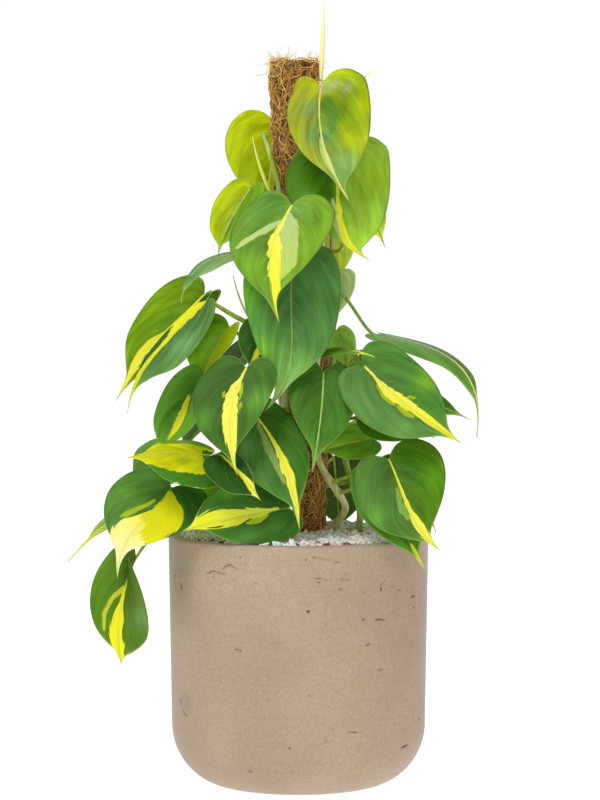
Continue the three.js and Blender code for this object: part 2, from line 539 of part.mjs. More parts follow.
function buildVine(vine, index) {
  const path = vinePath(vine);
  const spikes = SPIKES.filter((spike) => spike.vine === index).map(({ line, radii }) => (
    bar(bezier(...line, radii.length - 1), radii, PETIOLE_SIDES)));
  return spikes.reduce((body, spike) => body.add(spike), bar(path, vineRadii(vine, path), VINE_SIDES));
}

function vineHole(vine) {
  const path = vinePath(vine).filter((point) => point[2] < 206);
  const deeper = [add(path[0], [0, 0, -FIT_GAP]), ...path.slice(1)];
  return bar(deeper, vineRadii(vine, vinePath(vine)).slice(0, path.length).map((radius) => radius + 0.5),
    VINE_SIDES);
}

function buildSpear() {
  const path = bezier(...SPEAR, SPEAR_RADII.length - 1);
  return bar(path, SPEAR_RADII, VINE_SIDES);
}

const finishes = {
  clay: new THREE.MeshStandardMaterial({ name: 'fibre_clay', color: 0xbba58c, roughness: 0.9 }),
  mineral: new THREE.MeshStandardMaterial({ name: 'mineral', color: 0xb9aaa2, roughness: 0.9 }),
  wood: new THREE.MeshStandardMaterial({ name: 'stake_wood', color: 0x8a6a45, roughness: 0.8 }),
  coir: new THREE.MeshStandardMaterial({ name: 'coir', color: 0x8a5a32, roughness: 1 }),
  stem: new THREE.MeshStandardMaterial({ name: 'stem', color: 0x8a9a48, roughness: 0.5 }),
  leaf: new THREE.MeshStandardMaterial({ name: 'leaf', color: 0x4f8a30, roughness: 0.4 }),
  spear: new THREE.MeshStandardMaterial({ name: 'young_leaf', color: 0xe6e08a, roughness: 0.5 }),
};

const group = new THREE.Group();

function addNode(name, body, finish) {
  const mesh = body.getMesh();
  const geometry = new THREE.BufferGeometry();
  geometry.setAttribute('position', new THREE.BufferAttribute(new Float32Array(mesh.vertProperties), 3));
  geometry.setIndex(new THREE.BufferAttribute(new Uint32Array(mesh.triVerts), 1));
  geometry.computeVertexNormals();
  const node = new THREE.Mesh(geometry, finish);
  node.name = name;
  group.add(node);
}

const poleHole = loft([POLE_FOOT[2] - FIT_GAP, POLE_FOOT[2] + 14].map((height) => (
  poleCircle(height, sleeveRadius(height) + 0.6, SLEEVE_SEGMENTS, 0))));
const coreHole = coreBar(CORE_RADIUS + 0.6, CORE_FOOT_HEIGHT - FIT_GAP, POLE_FOOT[2] + 3, 16);

addNode('pot', buildPot(), finishes.clay);
addNode('substrate', buildSubstrate([poleHole, coreHole, ...VINES.map(vineHole)]), finishes.mineral);
addNode('pole_core', coreBar(CORE_RADIUS, CORE_FOOT_HEIGHT, POLE_HEAD[2] - CORE_TOP_DROP, 16),
  finishes.wood);
addNode('coir_sleeve', buildSleeve(), finishes.coir);
VINES.forEach((vine, index) => addNode(vine.name, buildVine(vine, index), finishes.stem));
addNode('new_leaf', buildSpear(), finishes.spear);
for (const leaf of LEAVES) addNode(leaf.name, buildLeaf(leaf), finishes.leaf);

export default group;
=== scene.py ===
"""Potted climbing philodendron, variegated kind: the looks of the plant, its coir pole and its pot.

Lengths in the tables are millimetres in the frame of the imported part: the origin is the centre of the
pot's flat base, +Z is up and the front faces -Y. Meshes are made in millimetres and scaled at the end.
"""

import math
import random

import bmesh
import bpy
import numpy as np
from bpy.props import FloatProperty, FloatVectorProperty, IntProperty, PointerProperty
from mathutils import Matrix, Vector, noise


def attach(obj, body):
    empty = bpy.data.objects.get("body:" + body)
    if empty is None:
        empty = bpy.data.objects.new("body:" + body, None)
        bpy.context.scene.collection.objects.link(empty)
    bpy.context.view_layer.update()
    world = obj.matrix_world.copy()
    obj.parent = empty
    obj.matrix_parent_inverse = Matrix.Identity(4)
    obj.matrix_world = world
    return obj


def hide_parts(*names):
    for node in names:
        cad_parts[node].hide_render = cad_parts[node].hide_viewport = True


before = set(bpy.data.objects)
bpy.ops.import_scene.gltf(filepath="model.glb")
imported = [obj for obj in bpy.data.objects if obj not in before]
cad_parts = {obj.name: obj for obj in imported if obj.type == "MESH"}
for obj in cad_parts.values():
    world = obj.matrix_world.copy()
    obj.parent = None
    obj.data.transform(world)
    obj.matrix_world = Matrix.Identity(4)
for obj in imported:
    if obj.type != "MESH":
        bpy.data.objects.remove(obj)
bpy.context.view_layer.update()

bl_info = {
    "name": "Potted climbing philodendron",
    "version": (1, 0, 0),
    "blender": (4, 5, 0),
    "location": "3D View > Sidebar > Plant",
    "description": "Leaves, stems, coir pole, mineral granules and fibre-clay pot of a climbing plant",
    "category": "Add Mesh",
}

MM = 0.001

# Half of the heart-shaped outline, as (across, along) in leaf lengths, from the notch to the tip,
# and the rows of the blade: share of the midrib and the outline point that the row fans out to
HALF_OUTLINE = ((0, 0), (0.05, -0.06), (0.15, -0.115), (0.29, -0.1), (0.41, 0.03), (0.455, 0.2),
    (0.43, 0.39), (0.335, 0.57), (0.185, 0.715), (0.078, 0.8), (0.03, 0.88), (0, 1))
WIDEST = 0.455
OUTLINE_SPANS = len(HALF_OUTLINE) - 1
ROW_STATIONS = ((0, 0), (0.035, 1.8), (0.08, 3), (0.15, 4), (0.25, 5), (0.37, 6), (0.51, 7),
    (0.65, 8), (0.8, 9.3), (1, 11))
BLADE_CUP = 0.16
STEM_GAP = 0.65

# Coir pole, leaning slightly to the left as it rises: foot, head and radius by height
POLE_FOOT = (10.4, 16, 186)
POLE_HEAD = (-2.6, 6, 557)
SLEEVE_SECTIONS = ((186, 8.8), (198, 10.4), (214, 12.2), (236, 13.6), (270, 15.6), (310, 17.0),
    (350, 18.0), (390, 18.8), (430, 19.4), (470, 19.9), (510, 20.3), (545, 20.7), (557, 19.6))
SLEEVE_LUMP = 0.5
VINE_CLEARANCE = 1.2

# Coir mat: rows of its wall as (first, end, step), columns round it, how far it lies inside the even
# pole, its rounded top edge and its bore, as (radius, height), and the radius where its wall begins
MAT_ROWS = (186.0, 556.0, 3.0)
MAT_COLUMNS = 72
MAT_INSET = 0.9
MAT_TOP_AND_BORE = ((18.2, 556.4), (15.5, 557), (11, 556.6), (7.6, 555.4), (7.0, 540), (7.0, 186))
MAT_BORE_EDGE = 8

# Loose fibres: heights at which they start, and between which they stay, the height of the pole's
# edge, and the points of one fibre
FIBRE_STARTS = (190, 557)
FIBRE_LIMITS = (188, 558.5)
POLE_EDGE = 556.5
FIBRE_POINTS = 7

# Vines: radius at the foot and at the top, and centre line points.
# A point with two numbers is beside the pole: angle from the front, height.
VINES = {
    "vine_front_left": ((3.0, 1.7), ((-28, 2, 176), (-28, 2, 197), (-21, -1, 226),
        (-62, 262), (-52, 300), (-44, 350), (-40, 400), (-39, 455), (-27, -8, 503))),
    "vine_front_right": ((3.0, 1.9), ((26.6, 8, 176), (26.6, 8, 196), (32, 2, 205), (36, -5, 214),
        (32.5, -9, 223), (26.5, -11, 232), (15, -12, 254), (16, 292), (30, 350), (42, 420), (47, 480),
        (17.5, -13.5, 541))),
    "vine_left": ((2.9, 1.8), ((-40, 20, 176), (-40, 20, 197), (-30, 20, 220),
        (-108, 262), (-100, 310), (-96, 370), (-92, 432))),
    "vine_right": ((2.8, 1.8), ((47, 14, 176), (47, 14, 197), (47, 12, 212), (38, 12, 242),
        (96, 296), (92, 350), (90, 425))),
    "vine_back_left": ((3.0, 1.7), ((-14, 44, 176), (-14, 44, 197), (-8, 40, 220),
        (-158, 262), (-152, 340), (-146, 420), (-140, 492))),
    "vine_back_right": ((3.0, 1.7), ((14, 46, 176), (14, 46, 197), (16, 42, 222),
        (150, 262), (146, 340), (142, 430), (138, 515))),
    "vine_front": ((2.8, 1.8), ((-14, -10, 176), (-14, -10, 197), (-8, -8, 222),
        (-20, 262), (-12, 310), (-8, 360), (-4, 424))),
}
VINE_NAMES = tuple(VINES)

# Slim sheaths that grow out of a vine: vine, Bezier centre line and radii
SHEATHS = (
    ("vine_left", ((-16, 13, 338), (-30, 0, 344), (-44, -8, 364), (-50, -10, 393)),
        (1.2, 1.1, 1.1, 1.5, 1.2, 0.35)),
    ("vine_front_right", ((15, -11, 506), (28, -18, 522), (44, -20, 540), (58, -24, 549)),
        (1.1, 1.1, 1.2, 1.2, 0.9, 0.35)),
    ("vine_front_left", ((-13, -9, 440), (-24, -5, 458), (-31, -1, 478), (-35, 0, 498)),
        (1.6, 1.7, 1.7, 1.5, 1.0, 0.35)),
)

SHEATH_STEPS = 16
SHEATH_FLATNESS = 0.62

# Stems: points on each span of a centre line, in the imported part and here, the sides of a stem, how
# much and how far it swells at a node, and the aerial roots that reach for the pole
PACKED_STEPS = 2
VINE_STEPS = 9
VINE_SIDES = 14
NODE_SWELLING = 0.3
NODE_LENGTH = 3.2
ROOTS_AT_NODE = 2
ROOT_LENGTHS = (5, 9)
ROOT_TURN = 1.1
ROOT_RISE = 3
ROOT_RADII = (0.9, 0.8, 0.7, 0.6, 0.45, 0.2)
ROOT_SIDES = 7
ROOT_REACH = 34

# Rolled new leaf above the front right vine: Bezier centre line, radii and turns of the roll
SPEAR = ((17.6, -13.6, 541.6), (17.5, -13, 556), (19.5, -12, 580), (19.2, -11, 601))
SPEAR_RADII = (1.6, 2.4, 2.3, 1.4, 0.35)
SPEAR_STEPS = 40
SPEAR_COLUMNS = 36
SPEAR_TURNS = 1.45
SPEAR_SHEET = 0.3

# Leaves. Two values in a row are for the left and the right half, seen from the front.
# base and tip: where the petiole meets the blade, and the end of the drip tip. face: azimuth and
# elevation of the upper side. halves: widths. bend, sway and hook: bows of the midrib, and of the
# drip tip alone. fold: angle of each half; curl: extra fold at the base. full: moves the widest part
# towards the tip; lean: the same with its lobe. vine and node: where the petiole starts; handles: its
# straight shares. A row leaves out what is usual.
USUAL_LEAF = dict(bend=(0.05, 0.02), sway=(0, 0), hook=(0, 0), fold=(6, 6), curl=(0, 0), full=(0, 0),
    lean=(0, 0), handles=(0.35, 0.35))
LEAVES = {
    "leaf_01": dict(vine=1, node=520, base=(17, -46, 536), tip=(38, -78, 450), face=(4, 20),
        halves=(25, 40), bend=(0.04, 0.02), sway=(-0.1, 0), fold=(8, 8), full=(-0.1, 0.1)),
    "leaf_02": dict(vine=1, node=488, base=(34, -22, 489), tip=(38, -54, 404), face=(6, 12),
        halves=(40, 40), bend=(0.04, 0.03), sway=(-0.075, 0), hook=(0.05, 0.18), fold=(0, 6),
        full=(0.05, 0.3)),
    "leaf_03": dict(vine=0, node=428, base=(-5, -64, 447), tip=(-14, -88, 360), face=(0, 16),
        halves=(34, 38), bend=(0.04, 0.02), sway=(-0.13, 0), fold=(4, 4), full=(0, -0.15)),
    "leaf_04": dict(vine=6, node=380, base=(-1, -48, 407), tip=(-27, -76, 292), face=(2, 12),
        halves=(37, 38), bend=(0.05, 0.0), sway=(-0.034, 0.129), fold=(5, 5), full=(0.05, -0.12)),
    "leaf_05": dict(vine=4, node=440, base=(-18, 42, 508), tip=(-28, 31, 433), face=(12, 8),
        halves=(37, 24), bend=(0.03, 0.02), fold=(0, 0)),
    "leaf_06": dict(vine=0, node=452, base=(-37, -15, 459), tip=(-61, -28, 409), face=(-42, 12),
        halves=(21, 22), bend=(0.06, 0.03), sway=(0.02, 0), fold=(22, 18), full=(0.2, 0.2)),
    "leaf_07": dict(vine=0, node=398, base=(-51, -24, 411), tip=(-89, -30, 372), face=(-68, 38),
        halves=(20, 18), bend=(0.18, 0.02), fold=(-10, -10)),
    "leaf_08": dict(vine=2, node=352, base=(-73, -4, 376), tip=(-139, -30, 298), face=(-28, 22),
        halves=(37, 15), bend=(0.04, 0.03), sway=(0.02, 0), full=(0, 0.1)),
    "leaf_09": dict(vine=0, node=352, base=(-69, -46, 376), tip=(-128, -76, 292), face=(-34, 14),
        halves=(8, 28), bend=(0.05, 0.04), sway=(0.03, -0.07), fold=(34, 12), full=(0, -0.05),
        lean=(0.1, 0.31)),
    "leaf_10": dict(vine=2, node=326, base=(-53, -8, 353), tip=(-78, -20, 304), face=(-24, 12),
        halves=(29, 12), bend=(0.06, 0.02), fold=(8, 24)),
    "leaf_11": dict(vine=2, node=286, base=(-72, -40, 315), tip=(-107, -52, 250), face=(-30, 24),
        halves=(25, 21), fold=(10, 14), full=(0.05, 0)),
    "leaf_12": dict(vine=0, node=290, base=(-39, -84, 326), tip=(-45, -110, 248), face=(-4, 16),
        halves=(31, 27), bend=(0.04, 0.02), sway=(-0.1, 0), fold=(4, 4), full=(0.08, -0.15)),
    "leaf_13": dict(vine=2, node=246, base=(-68, -58, 259), tip=(-128, -84, 259), face=(-16, 42),
        halves=(14, 36), fold=(4, 4), full=(0, 0.2)),
    "leaf_14": dict(vine=2, node=214, base=(-96, -56, 234), tip=(-135, -92, 169), face=(-12, 16),
        halves=(38, 38), sway=(0, -0.085), full=(-0.12, -0.25)),
    "leaf_15": dict(vine=6, node=214, base=(-8, -72, 220), tip=(-87, -85, 204), face=(4, 12),
        halves=(28, 25), sway=(-0.02, 0), full=(0.25, 0)),
    "leaf_16": dict(vine=0, node=230, base=(-57, -88, 261), tip=(-28, -104, 229), face=(8, 30),
        halves=(22, 10), bend=(0.06, 0.02), fold=(14, 14), full=(0.2, 0)),
    "leaf_17": dict(vine=6, node=268, base=(-33, -56, 290), tip=(1, -99, 206), face=(2, 18),
        halves=(36, 23), sway=(0.065, 0), full=(-0.05, 0)),
    "leaf_18": dict(vine=1, node=300, base=(19, -58, 321), tip=(10, -80, 247), face=(2, 14),
        halves=(27, 26), sway=(0.02, 0), fold=(8, 8), full=(-0.15, -0.05)),
    "leaf_19": dict(vine=1, node=312, base=(50, -62, 326), tip=(122, -86, 270), face=(12, 16),
        halves=(33, 31), sway=(-0.05, 0), fold=(5, 5), full=(0.1, 0.1)),
    "leaf_20": dict(vine=1, node=386, base=(66, -20, 348), tip=(135, -50, 272), face=(52, 44),
        halves=(17, 26), bend=(0.18, 0.1), fold=(-14, -14)),
    "leaf_21": dict(vine=3, node=300, base=(72, -20, 303), tip=(131, -42, 284), face=(20, 22),
        halves=(13, 13), bend=(0.06, 0.02), fold=(8, 8)),
    "leaf_22": dict(vine=3, node=280, base=(56, -44, 294), tip=(103, -64, 272), face=(10, 20),
        halves=(24, 24), bend=(0.04, 0.02)),
    "leaf_23": dict(vine=1, node=234, base=(68, -76, 257), tip=(106, -104, 191), face=(10, 20),
        halves=(34, 39), bend=(0.04, 0.02), sway=(-0.03, -0.06), fold=(5, 5), full=(0.12, -0.05)),
    "leaf_24": dict(vine=1, node=226, base=(58, -56, 246), tip=(95, -92, 175), face=(8, 18),
        halves=(24, 30), sway=(-0.04, 0)),
    "leaf_25": dict(vine=2, node=207, base=(-124, -42, 179), tip=(-134, -58, 100), face=(-12, 10),
        halves=(25, 33), bend=(0.07, 0.02), sway=(-0.06, 0), fold=(10, 4), full=(0.2, 0.35),
        handles=(0.8, 0.12), curl=(0, 95)),
    "leaf_26": dict(vine=2, node=230, base=(-111, -22, 229), tip=(-175, -46, 177), face=(-58, 30),
        halves=(14, 14), bend=(0.04, 0.0), fold=(10, 10), full=(-0.2, -0.2)),
    "leaf_27": dict(vine=2, node=262, base=(-90, -14, 255), tip=(-132, -36, 234), face=(-30, 24),
        halves=(26, 26)),
    "leaf_28": dict(vine=0, node=338, base=(-24, -26, 357), tip=(-38, -42, 318), face=(-10, 10),
        halves=(18, 24)),
    "leaf_29": dict(vine=1, node=340, base=(29, -26, 351), tip=(37, -34, 320), face=(24, 12),
        halves=(14, 13), fold=(10, 10)),
    "leaf_30": dict(vine=6, node=318, base=(8, -40, 333), tip=(57, -72, 334), face=(10, 70),
        halves=(13, 9), fold=(8, 8)),
    "leaf_31": dict(vine=3, node=386, base=(30, 34, 394), tip=(-8, 44, 338), face=(170, 6),
        halves=(20, 20), bend=(0.05, 0)),
    "leaf_32": dict(vine=3, node=410, base=(42, -8, 458), tip=(66, -28, 414), face=(20, 14),
        halves=(16, 16), fold=(8, 8)),
    "leaf_33": dict(vine=0, node=212, base=(-58, -30, 238), tip=(-76, -56, 196), face=(-10, 20),
        halves=(16, 16)),
    "leaf_34": dict(vine=3, node=258, base=(56, -30, 269), tip=(13, -36, 258), face=(6, 34),
        halves=(16, 16)),
    "leaf_35": dict(vine=5, node=480, base=(10, 54, 500), tip=(22, 80, 425), face=(150, 22),
        halves=(32, 32), bend=(0.05, 0.03), sway=(0.04, 0)),
    "leaf_36": dict(vine=4, node=430, base=(-18, 62, 455), tip=(-34, 88, 380), face=(-164, 22),
        halves=(29, 30), bend=(0.05, 0.03), sway=(0.02, 0)),
    "leaf_37": dict(vine=5, node=420, base=(14, 60, 440), tip=(14, 86, 362), face=(176, 20),
        halves=(28, 28), bend=(0.05, 0.03), sway=(-0.04, 0)),
    "leaf_38": dict(vine=4, node=330, base=(-26, 62, 346), tip=(-66, 90, 285), face=(-122, 20),
        halves=(29, 30), bend=(0.05, 0.03), sway=(0.03, 0)),
    "leaf_39": dict(vine=5, node=312, base=(48, 36, 328), tip=(80, 46, 276), face=(112, 20),
        halves=(29, 28), bend=(0.05, 0.03), sway=(0.03, 0)),
    "leaf_40": dict(vine=4, node=280, base=(-48, 64, 296), tip=(-96, 96, 240), face=(-118, 24),
        halves=(29, 30), bend=(0.05, 0.03)),
    "leaf_41": dict(vine=5, node=270, base=(58, 64, 285), tip=(106, 92, 235), face=(116, 24),
        halves=(20, 28), bend=(0.05, 0.03)),
    "leaf_42": dict(vine=4, node=224, base=(-50, 62, 236), tip=(-104, 90, 190), face=(-114, 26),
        halves=(28, 28), bend=(0.05, 0.03)),
    "leaf_43": dict(vine=5, node=226, base=(63, 56, 240), tip=(109, 84, 186), face=(122, 26),
        halves=(28, 28), bend=(0.05, 0.03)),
    "leaf_44": dict(vine=5, node=240, base=(28, 86, 246), tip=(33, 111, 177), face=(176, 20),
        halves=(29, 27), bend=(0.05, 0.03)),
    "leaf_45": dict(vine=4, node=380, base=(-8, 64, 398), tip=(-14, 94, 322), face=(-174, 22),
        halves=(30, 30), bend=(0.05, 0.03), sway=(0.04, 0)),
    "leaf_46": dict(vine=5, node=330, base=(12, 72, 336), tip=(20, 102, 258), face=(176, 22),
        halves=(30, 31), bend=(0.05, 0.03), sway=(-0.04, 0)),
}

# Parts of a leaf piece and of a stem piece, which are also their material indexes
UPPER, UNDER, STALK = range(3)
ROOT, SHEATH = 1, 2
STALK_STEPS = 18
STALK_SIDES = 10
RIB_POINTS = 14
RIB_SIDES = 8
RIB_END = 0.8
VEIN_SLANT = 0.52
PATTERN_SHIFT = 31.0
FAR_OFF = -99.0

# Camera: 3 m in front of the pot at the top of the plant, looking slightly down
CAMERA_PLACE = (1.2, -3000, 497.6)
CAMERA_PITCH_DOWN = 3.83
CAMERA_LENS = 176.2

# Studio, in metres and watts: half the floor's side, and the lamps as name, place, side and power
FLOOR_HALF = 6.0
LAMP_AIM = (0, 0, 0.3)
LAMPS = (("key", (-0.7, -1.5, 2.1), 1.0, 27.0), ("fill", (0.7, -2.3, 0.75), 1.4, 9.0),
    ("back", (0.2, 1.5, 1.9), 1.2, 12.0))

# Colours of the blades, as the eye sees them on the real plant
DARK = "#2F5F1C"
DEEP = "#3A6E20"
GREEN = "#4F8F24"
FRESH = "#5E9A2E"
LIME = "#9DB41C"
OLIVE = "#A9B80E"
SAGE = "#A9C27A"
YELLOW = "#E6E226"
PALE = "#EEE85C"
CREAM = "#F6F0BE"

